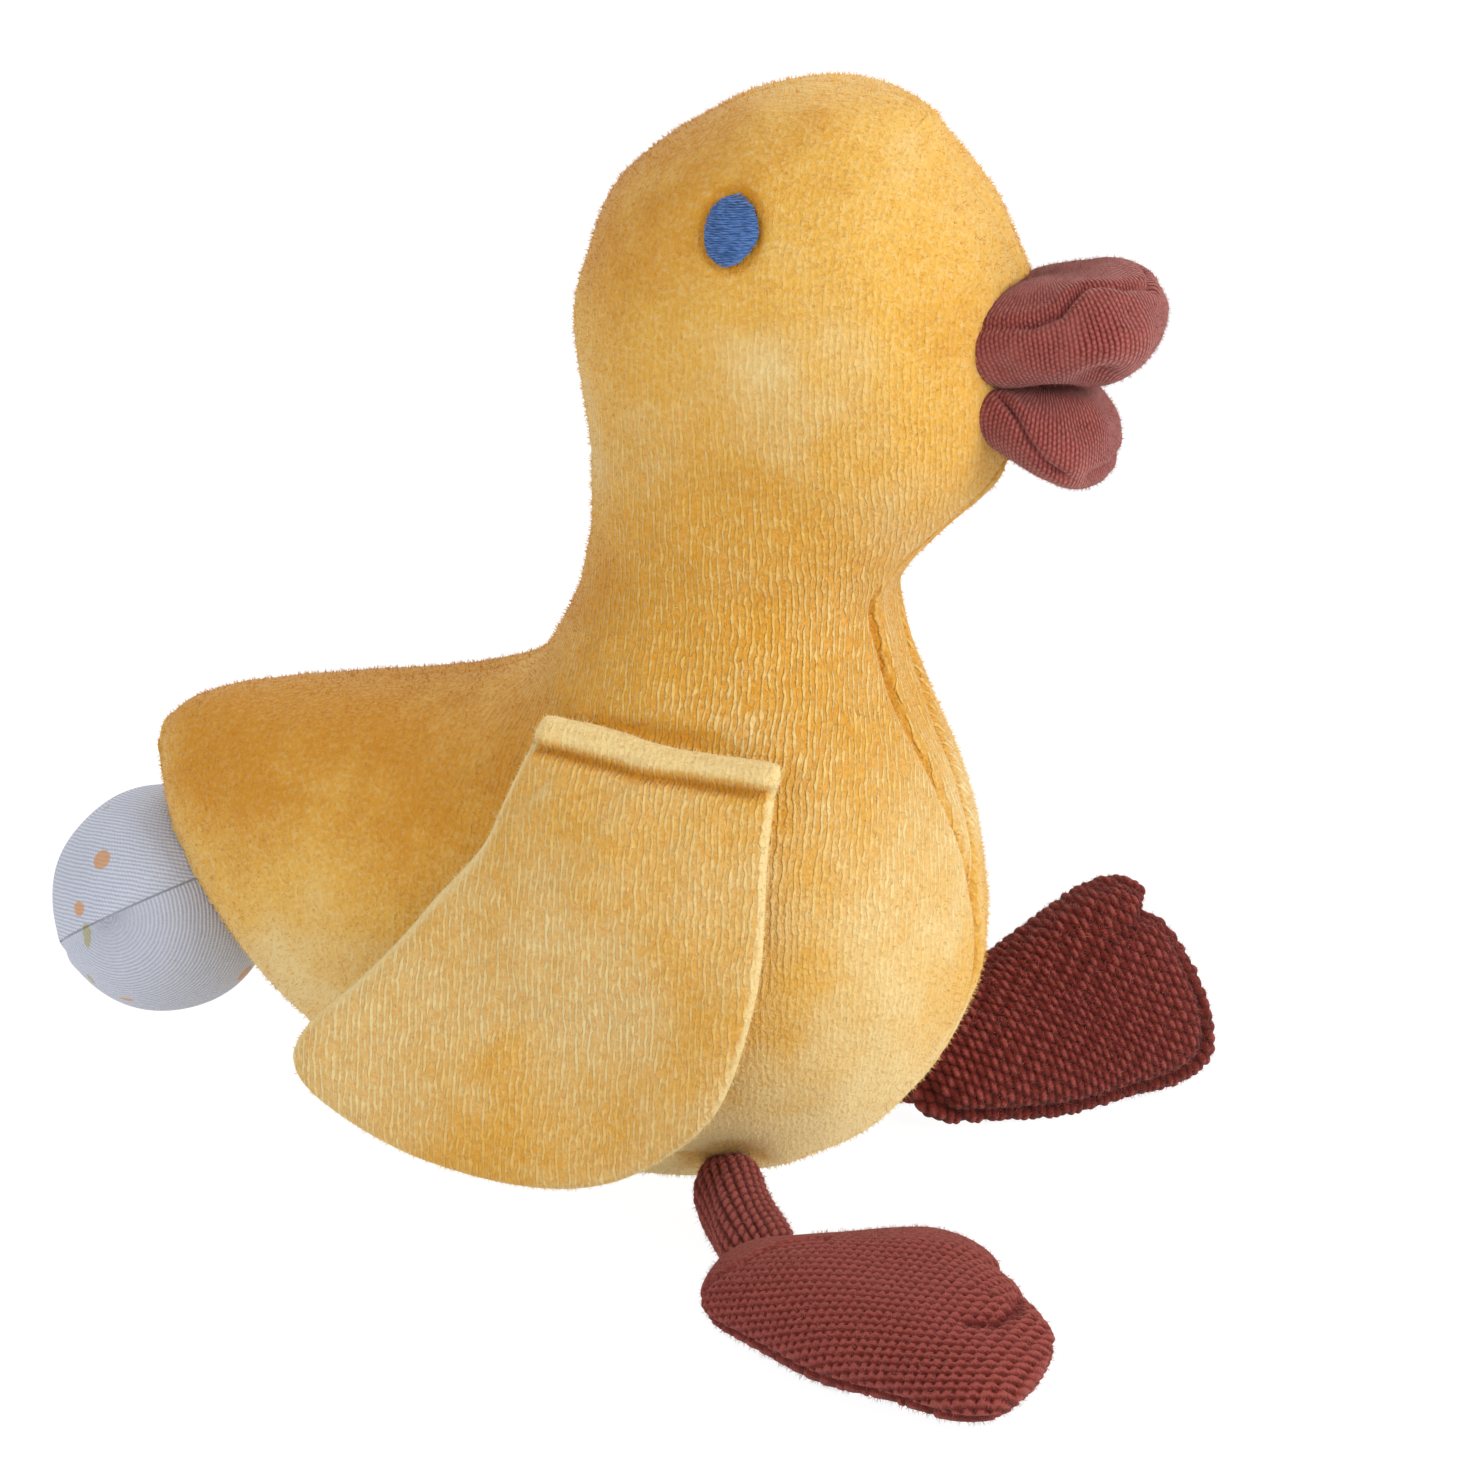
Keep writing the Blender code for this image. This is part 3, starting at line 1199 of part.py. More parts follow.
def build():
    clear_scene()
    velour = material("yellow_velour", (0.86, 0.50, 0.12), 0.95)
    brick_jersey = material("brick_jersey", (0.40, 0.09, 0.08), 0.95)
    brick_knit = material("brick_knit", (0.34, 0.07, 0.06), 0.95)
    white_jersey = material("white_jersey", (0.78, 0.79, 0.88), 0.95)
    satin = material("blue_satin", (0.10, 0.25, 0.66), 0.5)
    wood = material("core_wood", (0.70, 0.52, 0.32), 0.7)
    cotton = material("white_cord", (0.85, 0.84, 0.80), 0.9)
    plastic = material("case_plastic", (0.80, 0.80, 0.78), 0.45)
    steel = material("spring_steel", (0.60, 0.61, 0.63), 0.3, 1.0)
    zinc = material("cast_zinc", (0.55, 0.55, 0.56), 0.45, 1.0)
    brass = material("brass", (0.72, 0.53, 0.22), 0.3, 1.0)

    line = cord_line()
    body = make_body(velour)
    half_width = surface_of(body)
    body_grown = grown(body, "body_grown", CLEARANCE)
    head = make_head(velour)
    head_grown = grown(head, "head_grown", CLEARANCE)

    upper = make_beak(
        "beak_upper",
        UPPER_BEAK_LENGTH,
        UPPER_BEAK_HALF_WIDTH,
        UPPER_BEAK_HALF_HEIGHT,
        UPPER_BEAK_RISE,
        UPPER_BEAK_TILT_DEG,
        brick_jersey,
    )
    lower = make_beak(
        "beak_lower",
        LOWER_BEAK_LENGTH,
        LOWER_BEAK_HALF_WIDTH,
        LOWER_BEAK_HALF_HEIGHT,
        -LOWER_BEAK_DROP,
        LOWER_BEAK_TILT_DEG,
        brick_jersey,
    )
    upper_grown = grown(upper, "beak_upper_grown", CLEARANCE)
    cut(upper, head_grown)
    cut(lower, head_grown, upper_grown)
    head_width = surface_of(head)
    head_pieces = [head, upper, lower]
    for name, side in (("eye_right", -1), ("eye_left", 1)):
        head_pieces.append(make_eye(name, side, head_width, satin))

    seam = seam_line(half_width)
    sheet = wing_sheet(half_width, seam)
    for name, side in (("wing_right", -1), ("wing_left", 1)):
        wing = make_wing(name, side, sheet, seam, velour)
        cut(wing, body_grown)
        set_origin(wing, (seam[0].x, side * abs(seam[0].y), seam[0].z))

    feet = (
        ("right", -1, RIGHT_ANKLE_PLACE, RIGHT_FOOT_TURNS_DEG, RIGHT_FOOT_SKEW_SHARE, RIGHT_LEG_BEND),
        ("left", 1, LEFT_ANKLE_PLACE, LEFT_FOOT_TURNS_DEG, LEFT_FOOT_SKEW_SHARE, LEFT_LEG_BEND),
    )
    joints = {}
    for tag, side, place, turns_deg, skew, bend in feet:
        foot, ankle = make_foot("foot_" + tag, side, place, turns_deg, skew, brick_knit)
        hip = hip_of(side)
        path = leg_path(hip, ankle, bend)
        leg = make_leg("leg_" + tag, path, brick_knit)
        cut(leg, body_grown)
        cut(foot, leg_sweep(tag + "_ankle_space", ankle, path, CLEARANCE))
        socket_radius = HIP_RADIUS + CLEARANCE
        cut(body, ball(tag + "_hip_socket", hip, socket_radius, SHAFT_SIDES, SMALL_BALL_RINGS))
        set_origin(leg, hip)
        set_origin(foot, ankle)
        joints[tag] = (hip, ankle)

    cord_end = make_ball(line, white_jersey, wood, cotton)
    cut(body, ball("ball_dent", BALL_CENTRE, BALL_RADIUS + CLEARANCE))
    pocket_start = at_y(CASE_CENTRE, -CASE_HALF_DEPTH - COVER_THICKNESS - SCREW_HEAD_HEIGHT - 3 * CLEARANCE)
    pocket_end = at_y(CASE_CENTRE, CASE_HALF_DEPTH + CASE_WALL + CLEARANCE)
    cut(body, rod("case_pocket", pocket_start, pocket_end, CASE_RADIUS + CLEARANCE, CASE_SIDES))
    cut(body, rod("cord_channel", line[0], BALL_CENTRE, CHANNEL_RADIUS, SHAFT_SIDES))

    make_case(line, plastic, steel)
    make_frame(zinc)
    make_comb(steel)
    shaft_start, shaft_end = at_y(MAIN_SHAFT, BARREL_START + BARREL_WALL), at_y(MAIN_SHAFT, CHEEK_B_END)
    drum_pieces = [
        rod("main_shaft", shaft_start, shaft_end, MAIN_SHAFT_RADIUS, SHAFT_SIDES, steel),
        make_music_cylinder(brass),
        make_gear(
            "cylinder_gear",
            MAIN_SHAFT,
            GEAR_TEETH,
            FLY_ANGLE,
            GEAR_START,
            GEAR_END,
            MAIN_SHAFT_RADIUS + CLEARANCE,
            brass,
        ),
        make_drum(plastic),
    ]
    for item in drum_pieces:
        set_origin(item, MAIN_SHAFT)
    make_barrel(brass)
    make_spring(steel)
    for item in make_governor(steel, plastic):
        set_origin(item, FLY_SHAFT)
    make_cord(line, cord_end, cotton)
    for item in head_pieces:
        set_origin(item, NECK_CENTRE)
    return joints


if __name__ == "__main__":
    build()
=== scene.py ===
"""The looks of a seated plush duck: a velour skin and wings, a jersey beak, knitted legs and feet, eyes in
satin stitch, a jersey pull ball on its cord, and finishes for the musical movement. Lengths are in metres."""

import json
import math

import bpy
import numpy as np
from mathutils import Matrix, Vector
from mathutils.bvhtree import BVHTree


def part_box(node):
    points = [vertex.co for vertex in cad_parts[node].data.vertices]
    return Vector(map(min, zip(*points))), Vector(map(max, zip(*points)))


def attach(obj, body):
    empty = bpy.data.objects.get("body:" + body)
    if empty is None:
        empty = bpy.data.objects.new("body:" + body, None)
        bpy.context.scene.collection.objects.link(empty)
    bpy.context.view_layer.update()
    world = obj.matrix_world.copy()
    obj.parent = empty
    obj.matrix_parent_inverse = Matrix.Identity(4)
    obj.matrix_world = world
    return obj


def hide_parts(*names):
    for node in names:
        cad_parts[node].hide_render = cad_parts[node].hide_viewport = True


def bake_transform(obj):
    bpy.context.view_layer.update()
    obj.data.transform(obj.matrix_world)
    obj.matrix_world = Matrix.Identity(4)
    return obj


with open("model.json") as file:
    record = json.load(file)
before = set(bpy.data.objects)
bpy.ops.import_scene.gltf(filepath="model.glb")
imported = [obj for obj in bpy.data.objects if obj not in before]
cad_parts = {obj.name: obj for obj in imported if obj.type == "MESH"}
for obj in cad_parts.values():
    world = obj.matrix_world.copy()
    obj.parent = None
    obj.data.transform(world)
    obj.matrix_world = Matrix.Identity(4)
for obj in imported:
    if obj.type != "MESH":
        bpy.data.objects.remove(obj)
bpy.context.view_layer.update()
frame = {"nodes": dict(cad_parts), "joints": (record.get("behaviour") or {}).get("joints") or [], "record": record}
NODES = frame["nodes"]
JOINTS = {joint["name"]: joint for joint in frame["joints"]}
MM = 0.001

# Skin: the solids' own sizes and stations
BODY_LENGTH = 0.168
BODY_HEIGHT = 0.120
BODY_HALF_WIDTH = 0.043
HEAD_LENGTH = 0.086
HEAD_HEIGHT = 0.092
HEAD_HALF_WIDTH = 0.034
SECTION_POWER = 2.2
# Each station from tail to neck: back x and z, belly x and z, half width
BODY_STATION_SHARES = (
    (-0.582, 0.640, -0.590, 0.558, 0.078),
    (-0.556, 0.673, -0.581, 0.500, 0.200),
    (-0.506, 0.697, -0.561, 0.416, 0.333),
    (-0.429, 0.713, -0.517, 0.325, 0.478),
    (-0.345, 0.730, -0.445, 0.221, 0.622),
    (-0.262, 0.753, -0.341, 0.117, 0.756),
    (-0.190, 0.775, -0.208, 0.032, 0.867),
    (-0.143, 0.797, -0.060, -0.004, 0.944),
    (-0.119, 0.820, 0.095, -0.004, 0.989),
    (-0.106, 0.842, 0.213, 0.050, 1.000),
    (-0.096, 0.875, 0.317, 0.175, 0.978),
    (-0.086, 0.900, 0.373, 0.342, 0.922),
    (-0.077, 0.929, 0.371, 0.500, 0.856),
    (-0.069, 0.963, 0.346, 0.646, 0.789),
    (-0.062, 1.004, 0.301, 0.792, 0.711),
    (-0.056, 1.058, 0.271, 0.946, 0.656),
)
# And from neck to crown, from the neck's waist
HEAD_STATION_SHARES = (
    (-0.316, 0.160, 0.355, 0.019, 0.862),
    (-0.318, 0.253, 0.445, 0.117, 0.891),
    (-0.332, 0.356, 0.538, 0.204, 0.935),
    (-0.346, 0.454, 0.584, 0.296, 0.976),
    (-0.337, 0.552, 0.600, 0.389, 1.000),
    (-0.304, 0.655, 0.609, 0.481, 1.000),
    (-0.255, 0.769, 0.613, 0.573, 0.971),
    (-0.155, 0.845, 0.581, 0.645, 0.906),
    (-0.033, 0.915, 0.548, 0.716, 0.794),
    (0.095, 0.958, 0.499, 0.778, 0.632),
    (0.211, 0.968, 0.444, 0.841, 0.441),
    (0.310, 0.949, 0.406, 0.886, 0.221),
)
SKIN_POINTS = 370
SKIN_STEPS = 9
CAP_RINGS = 6
# Half width of the strip down the throat and chest, by height
GUSSET_HEIGHTS = (0.056, 0.062, 0.070, 0.080, 0.094, 0.107, 0.118, 0.136, 0.146)
GUSSET_HALF_WIDTHS = (0.0, 0.0012, 0.0032, 0.0046, 0.0068, 0.0074, 0.0078, 0.0060, 0.0)
SEAM_DEPTH = 0.0016
SEAM_HALF_WIDTH = 0.0011

# Beak lobes
BEAK_BASE_SHARES = (0.560, 0.440)
BEAK_OUTLINE_SHARES = ((-0.10, 0.96), (0.25, 1.00), (0.58, 0.98), (0.84, 0.84), (0.96, 0.58), (1.00, 0.20))
BEAK_POWER = 2.6

# Wings
WING_SEAM_FRONT_SHARE = 0.212
WING_LENGTH = 0.090
WING_DROP = 0.083
WING_THICKNESS = 0.0055
WING_FLARE_SHARE = 0.21
WING_SEAM_SHARE = 0.05
WING_SEAM_TAPER = 0.014
WING_BLEND = 0.0006
WING_POWER = 14.0
WING_CENTRE_SHARES = (-0.125, -0.556)
WING_OUTLINE_SHARES = (
    (-0.251, 0.022), (-0.320, -0.148), (-0.371, -0.277), (-0.485, -0.435),
    (-0.563, -0.527), (-0.641, -0.620), (-0.718, -0.699), (-0.755, -0.783),
    (-0.707, -0.861), (-0.553, -0.939), (-0.421, -0.983), (-0.247, -0.998),
    (-0.095, -0.984), (0.029, -0.923), (0.139, -0.810), (0.193, -0.694),
    (0.225, -0.535), (0.236, -0.384), (0.234, -0.180), (0.245, -0.021),
)
TOPSTITCH_DROP = 0.0050

# Legs and feet
FOOT_LENGTH = 0.064
FOOT_HALF_WIDTH = 0.0225
FOOT_HALF_HEIGHT = 0.0100
FOOT_POWER = 2.4
ANKLE_SHARES = (0.17, 0.14)
LEG_RADIUS = 0.0065
LEG_END_RADII = (0.0035, 0.0045)
LEG_LOOPS_ROUND = 22
LEG_LOOP_LENGTH = 0.0030
FOOT_OUTLINE_SHARES = (
    (0.000, 0.00), (0.015, -0.30), (0.070, -0.48), (0.220, -0.64),
    (0.420, -0.80), (0.640, -0.90), (0.820, -0.95), (0.940, -0.84),
    (0.990, -0.50), (1.000, -0.15), (0.990, 0.20), (0.965, 0.42),
    (0.925, 0.56), (0.950, 0.68), (0.935, 0.83), (0.870, 0.94),
    (0.750, 0.96), (0.580, 0.85), (0.380, 0.69), (0.200, 0.56),
    (0.070, 0.42), (0.015, 0.24),
)

# Knits
RIB_PITCH = 0.0012
VOXEL = 0.00038
WING_VOXEL = 0.00055

# Strands: how many to the square metre, their size, and how far they lean
SKIN_STRANDS = {"Density": 0.95e6, "Length": 0.0009, "Width": 0.00016, "Lean": 1.0, "Seed": 4}
WING_STRANDS = {"Density": 2.2e6, "Length": 0.0008, "Width": 0.00014, "Lean": 1.0, "Seed": 9}
BEAK_STRANDS = {"Density": 2.0e6, "Length": 0.0009, "Width": 0.00007, "Lean": 1.1, "Seed": 21}
FUZZ_STRANDS = {"Density": 1.6e6, "Length": 0.0011, "Width": 0.00008, "Lean": 1.2}
# Where the skin's strands change from one piece to the next
NAP_SPLIT_HEIGHT = 0.098

# Where the back turns up into the neck, the base panel's seam from the hip, and the eyes
NAPE = (-0.020, 0.099)
BASE_SEAM = (-0.020, 0.0155, 0.0150)
EYE_SHARES = (0.089, 0.747)
EYE_LENGTH = 0.0098
EYE_HEIGHT = 0.0114
EYE_THREAD_RADIUS = 0.00022
EYE_ROWS = 30

# Pull ball and cord
BALL_LOW, BALL_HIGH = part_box("pull_ball_cover")
BALL_CENTRE = np.array((BALL_LOW + BALL_HIGH) / 2)
BALL_RADIUS = (BALL_HIGH.y - BALL_LOW.y) / 2
WOUND_RADIUS = 0.0091
CORD_TURNS = 2.0
CORD_TURN_PITCH = 0.0022
CORD_STRANDS = 4
CORD_STRAND_RADIUS = 0.00042
# How far a strand runs off the cord's middle, and how far along it goes once round
CORD_STRAND_OFFSET = 0.0004
CORD_LAY = 0.004

# Camera and floor
CAMERA_TARGET = (0.0155, 0.0, 0.086)
CAMERA_DISTANCE = 0.9
CAMERA_AZIMUTH_DEG = 18
CAMERA_ELEVATION_DEG = 20
CAMERA_HALF_VIEW = 730 / 4860
FLOOR_HEIGHT = -0.0004

# Colours
VELOUR_BASE = (0.74, 0.425, 0.078)
VELOUR_DEEP = (0.60, 0.258, 0.018)
VELOUR_PALE = (0.80, 0.62, 0.29)
BRICK = (0.27, 0.052, 0.044)
BRICK_DARK = (0.085, 0.009, 0.008)
BRICK_PALE = (0.38, 0.115, 0.10)
YARN = (0.140, 0.019, 0.014)
# The yarn's painted shade for the knit's holes, then its painted highlight on the loops
YARN_IN_SHADE = (0.026, 0.002, 0.001)
YARN_HIGHLIGHT = (0.30, 0.068, 0.056)
WHITE_JERSEY = ((0.36, 0.385, 0.465), (0.60, 0.63, 0.74))
SATIN_BLUES = ((0.025, 0.078, 0.225), (0.095, 0.20, 0.47))
COTTON_WHITES = ((0.62, 0.60, 0.54), (0.88, 0.87, 0.82))
PRINT_OCHRE = (0.62, 0.27, 0.05)
PRINT_OLIVE = (0.40, 0.36, 0.14)
# Ink, spacing of its motifs, their radius, a start and a stretch
PRINTS = (
    (PRINT_OCHRE, 0.0112, 0.0021, 1.7, (1.0, 1.0, 1.0)),
    (PRINT_OLIVE, 0.0105, 0.0012, 6.1, (1.0, 1.0, 0.42)),
    (PRINT_OCHRE, 0.0100, 0.0009, 3.3, (0.5, 1.0, 1.0)),
)


# Number helpers


def catmull(rows, steps, closed=False):
    """Catmull-Rom values through the rows of a table."""
    rows = np.asarray(rows, float)
    index = np.arange(len(rows) if closed else len(rows) - 1)

    def row(at):
        return rows[at % len(rows) if closed else np.clip(at, 0, len(rows) - 1)][:, None, :]

    a, b, c, d = row(index - 1), row(index), row(index + 1), row(index + 2)
    t = (np.arange(steps) / steps)[None, :, None]
    values = b + (c - a) * t / 2 + (2 * a - 5 * b + 4 * c - d) * t**2 / 2 + (3 * b - a - 3 * c + d) * t**3 / 2
    values = values.reshape(-1, rows.shape[1])
    return values if closed else np.vstack([values, rows[-1]])


def unit(vectors):
    return vectors / np.maximum(np.linalg.norm(vectors, axis=-1, keepdims=True), 1e-12)


def bell(distance, width):
    """1 at no distance, falling smoothly to 0 past the width."""
    return np.exp(-((distance / width) ** 2))


def lumps(points, size, seed, waves=9):
    """A smooth random field from -1 to 1, whose bumps are about a size across."""
    random = np.random.default_rng(seed)
    field = np.zeros(points.shape[:-1])
    for _ in range(waves):
        way = unit(random.normal(size=3)) * math.pi / size * random.uniform(0.7, 1.4)
        field += np.sin(points @ way + random.uniform(0, math.tau))
    return field / math.sqrt(waves * 2)


def segment_distance(points, start, end):
    run = end - start
    share = np.clip((points - start) @ run / (run @ run), 0, 1)
    return np.linalg.norm(points - (start + share[..., None] * run), axis=-1), share


# Mesh helpers


def grid_normals(grid):
    """Outward normals of a tube of rings whose points go round each ring."""
    along = np.gradient(grid, axis=0)
    around = np.roll(grid, -1, axis=1) - np.roll(grid, 1, axis=1)
    normals = unit(np.cross(around, along))
    outward = np.sum(normals * (grid - grid.mean(axis=1, keepdims=True)))
    return normals if outward > 0 else -normals


def relaxed(grid, passes):
    """The rings smoothed along and around the tube."""
    for _ in range(passes):
        around = (np.roll(grid, 1, axis=1) + np.roll(grid, -1, axis=1)) / 2
        along = grid.copy()
        along[1:-1] = (grid[:-2] + grid[2:]) / 2
        grid = grid / 2 + around / 4 + along / 4
    return grid


def eased(grid, size):
    """The lines that run along the tube, smoothed over a length."""
    made = grid.copy()
    for index in range(grid.shape[1]):
        line = grid[:, index]
        gone = np.concatenate([[0], np.cumsum(np.linalg.norm(np.diff(line, axis=0), axis=1))])
        places = np.linspace(0, gone[-1], 900)
        reach = int(3 * size / places[1])
        weights = bell(np.arange(-reach, reach + 1) * places[1], size * math.sqrt(2))
        weights /= weights.sum()
        for axis in range(3):
            even = np.pad(np.interp(places, gone, line[:, axis]), reach, mode="edge")
            made[:, index, axis] = np.interp(gone, places, np.convolve(even, weights, mode="valid"))
    return made


def capped(grid, bulge, rings=CAP_RINGS):
    """The tube with a rounded cap at each end, which stands out by a share of the end ring's mean radius."""
    pieces = [grid]
    for end, following in ((0, 1), (-1, -2)):
        rim = grid[end]
        centre = rim.mean(axis=0)
        out = unit(centre - grid[following].mean(axis=0))
        radius = np.linalg.norm(rim - centre, axis=1).mean()
        cap = []
        for step in range(1, rings + 1):
            turn = math.pi / 2 * step / (rings + 0.5)
            cap.append(centre + (rim - centre) * math.cos(turn) + out * bulge * radius * math.sin(turn))
        pieces = [np.array(cap[::-1]), *pieces] if end == 0 else [*pieces, np.array(cap)]
    return np.concatenate(pieces)


def linked(name, data):
    """A new object in the scene."""
    item = bpy.data.objects.new(name, data)
    bpy.context.scene.collection.objects.link(item)
    return item


def add_mesh(name, points, faces=(), edges=()):
    mesh = bpy.data.meshes.new(name)
    mesh.from_pydata(np.asarray(points).tolist(), edges, faces)
    mesh.shade_smooth()
    return linked(name, mesh)


def grid_faces(rings, each):
    """Quads of a tube, then a fan at each end round a pole point."""
    ring, step = np.meshgrid(np.arange(rings - 1), np.arange(each), indexing="ij")
    after = (step + 1) % each
    corners = (ring * each + step, ring * each + after, (ring + 1) * each + after, (ring + 1) * each + step)
    quads = np.stack([part.ravel() for part in corners], axis=1)
    steps = np.arange(each)
    first, last = rings * each, rings * each + 1
    low = np.stack([(steps + 1) % each, steps, np.full(each, first)], axis=1)
    top = (rings - 1) * each
    high = np.stack([top + steps, top + (steps + 1) % each, np.full(each, last)], axis=1)
    return quads.tolist() + low.tolist() + high.tolist()


def tube(name, grid):
    """A closed mesh from rings of points, with its faces turned outwards."""
    rings, each = grid.shape[:2]
    points = np.concatenate([grid.reshape(-1, 3), [grid[0].mean(axis=0), grid[-1].mean(axis=0)]])
    item = add_mesh(name, points, grid_faces(rings, each))
    around = np.roll(grid, -1, axis=1) - grid
    along = np.roll(grid, -1, axis=0) - grid
    outward = np.sum(np.cross(around, along)[:-1] * (grid - grid.mean(axis=1, keepdims=True))[:-1])
    if outward < 0:
        item.data.flip_normals()
    return item


def puffed(name, outline, centre, half_height, power, place, steps=40, ease=1.0):
    """A padded form over an outline, with its two crowned faces meeting at the rim."""
    turns = np.linspace(0, math.pi / 2, steps)[:-1]
    rings = []
    for way in (1, -1):
        half = []
        for turn in turns[:: -1 if way > 0 else 1]:
            share = math.cos(turn) ** ease
            lift = way * half_height * math.sqrt(max(1 - share**power, 0.0))
            spots = centre + (outline - centre) * share
            half.append(place(np.column_stack([spots, np.full(len(spots), lift)])))
        rings += half if way > 0 else half[1:]
    return tube(name, np.array(rings))


def vectors(values, key):
    found = np.empty(len(values) * 3)
    values.foreach_get(key, found)
    return found.reshape(-1, 3)


def points_of(item):
    return vectors(item.data.vertices, "co")


def normals_of(item):
    return vectors(item.data.vertex_normals, "vector")


def set_points(item, points):
    item.data.vertices.foreach_set("co", np.ascontiguousarray(points, np.float32).ravel())
    item.data.update()


def set_field(item, name, values):
    """A value, or a vector, kept on every point of the mesh."""
    kind, key = ("FLOAT", "value") if np.ndim(values) == 1 else ("FLOAT_VECTOR", "vector")
    field = item.data.attributes.get(name) or item.data.attributes.new(name, kind, "POINT")
    field.data.foreach_set(key, np.ascontiguousarray(values, np.float32).ravel())


def set_map(item, spots, other=None, chosen=None):
    """The knit's own map: a place in metres for each point, or the other one in the chosen faces."""
    layer = item.data.uv_layers.new(name="knit")
    corners = np.empty(len(item.data.loops), np.int32)
    item.data.loops.foreach_get("vertex_index", corners)
    values = spots[corners]
    if other is not None:
        sizes = np.empty(len(item.data.polygons), np.int32)
        item.data.polygons.foreach_get("loop_total", sizes)
        values = np.where(np.repeat(chosen, sizes)[:, None], other[corners], values)
    layer.data.foreach_set("uv", np.ascontiguousarray(values, np.float32).ravel())


def baked(item, name):
    """The object as its modifiers leave it, as a plain mesh under a name. The first object goes."""
    graph = bpy.context.evaluated_depsgraph_get()
    made = linked(name, bpy.data.meshes.new_from_object(item.evaluated_get(graph)))
    bpy.data.objects.remove(item, do_unlink=True)
    return made


def evened(item, name, size, passes):
    """The form in small even faces, smoothed."""
    step = item.modifiers.new("even", "REMESH")
    step.mode = "VOXEL"
    step.voxel_size = size
    soften = item.modifiers.new("soften", "SMOOTH")
    soften.iterations = passes
    made = baked(item, name)
    made.data.shade_smooth()
    return made


def dress(item, finish, slot, body=None):
    item.data.materials.clear()
    item.data.materials.append(finish)
    if body:
        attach(item, body)
    return item


# Node helpers


def put(tree, socket, value):
    """A link to a socket, or a constant on it. Colours come without alpha."""
    if isinstance(value, bpy.types.NodeSocket):
        tree.links.new(value, socket)
    else:
        socket.default_value = (*value, 1.0) if socket.type == "RGBA" else value


def tree_node(tree, kind, inputs=(), **settings):
    made = tree.nodes.new(kind)
    for name, value in settings.items():
        setattr(made, name, value)
    for socket, value in dict(inputs).items():
        put(tree, made.inputs[socket], value)
    return made


class Finish:
    """One material and short calls for the nodes that make it."""

    def __init__(self, name, **settings):
        self.material = bpy.data.materials.new(name)
        self.material.use_nodes = True
        self.tree = self.material.node_tree
        self.shader = self.tree.nodes["Principled BSDF"]
        for socket, value in settings.items():
            self.put(socket.replace("_", " "), value)

    def put(self, socket, value):
        put(self.tree, self.shader.inputs[socket], value)

    def node(self, kind, inputs=(), **settings):
        return tree_node(self.tree, "ShaderNode" + kind, inputs, **settings)

    def math(self, operation, *values):
        return self.node("Math", enumerate(values), operation=operation).outputs[0]

    def times(self, first, second):
        return self.math("MULTIPLY", first, second)

    def scaled(self, value, factor, offset):
        return self.math("MULTIPLY_ADD", value, factor, offset)

    def field(self, name, output="Fac"):
        return self.node("Attribute", attribute_name=name).outputs[output]

    def rest(self):
        return self.field("rest", "Vector")

    def knit_map(self):
        spots = self.node("UVMap", uv_map="knit").outputs[0]
        return self.node("SeparateXYZ", {0: spots}).outputs[:2]

    def cells(self, across, width, up, height):
        """Places on the knit, counted in cells of a width and height."""
        inputs = {0: self.math("DIVIDE", across, width), 1: self.math("DIVIDE", up, height)}
        return self.node("CombineXYZ", inputs).outputs[0]

    def noise(self, place, size, detail=2.0, roughness=0.5):
        """Noise from about 0.3 to 0.7, whose bumps are about a size across."""
        sockets = {"Vector": place, "Scale": 1 / size, "Detail": detail, "Roughness": roughness}
        return self.node("TexNoise", sockets).outputs[0]

    def spread(self, value, low, high, to_low=0.0, to_high=1.0):
        sockets = {"Value": value, "From Min": low, "From Max": high, "To Min": to_low, "To Max": to_high}
        return self.node("MapRange", sockets, interpolation_type="SMOOTHSTEP").outputs[0]

    def mix(self, share, first, second):
        return self.node("Mix", {0: share, 6: first, 7: second}, data_type="RGBA").outputs[2]

    def wave(self, value, pitch):
        """From 0 to 1 and back in each pitch."""
        return self.scaled(self.math("COSINE", self.times(value, math.tau / pitch)), 0.5, 0.5)

    def bump(self, height, depth, strength=1.0):
        sockets = {"Height": height, "Distance": depth, "Strength": strength}
        self.put("Normal", self.node("Bump", sockets).outputs[0])

    def colour(self, value):
        self.put("Base Color", value)


def cloth(name, sheen, sheen_roughness=0.5, tint=(1.0, 1.0, 1.0), gloss=0.5, roughness=0.92):
    sheens = {"Sheen_Weight": sheen, "Sheen_Roughness": sheen_roughness, "Sheen_Tint": tint}
    return Finish(name, Roughness=roughness, Specular_IOR_Level=gloss, **sheens)


def velour_colour(finish):
    """Warm yellow that wanders to orange and to a pale nap, by the tone kept on the surface, which also holds
    painted shade, painted highlights and painted bounce light, and how much pale pile shows in it."""
    rest = finish.rest()
    tone = finish.scaled(finish.noise(rest, 0.030), 1.6, -1.25)
    tone = finish.scaled(finish.noise(rest, 0.009, 3.0, 0.6), 0.9, tone)
    tone = finish.math("ADD", tone, finish.field("tone"))
    deep = finish.mix(finish.spread(tone, 0.1, -0.85), VELOUR_BASE, VELOUR_DEEP)
    colour = finish.mix(finish.spread(tone, 0.0, 0.85), deep, VELOUR_PALE)
    return colour, finish.spread(tone, 0.0, -0.85, 1.0, 0.4)


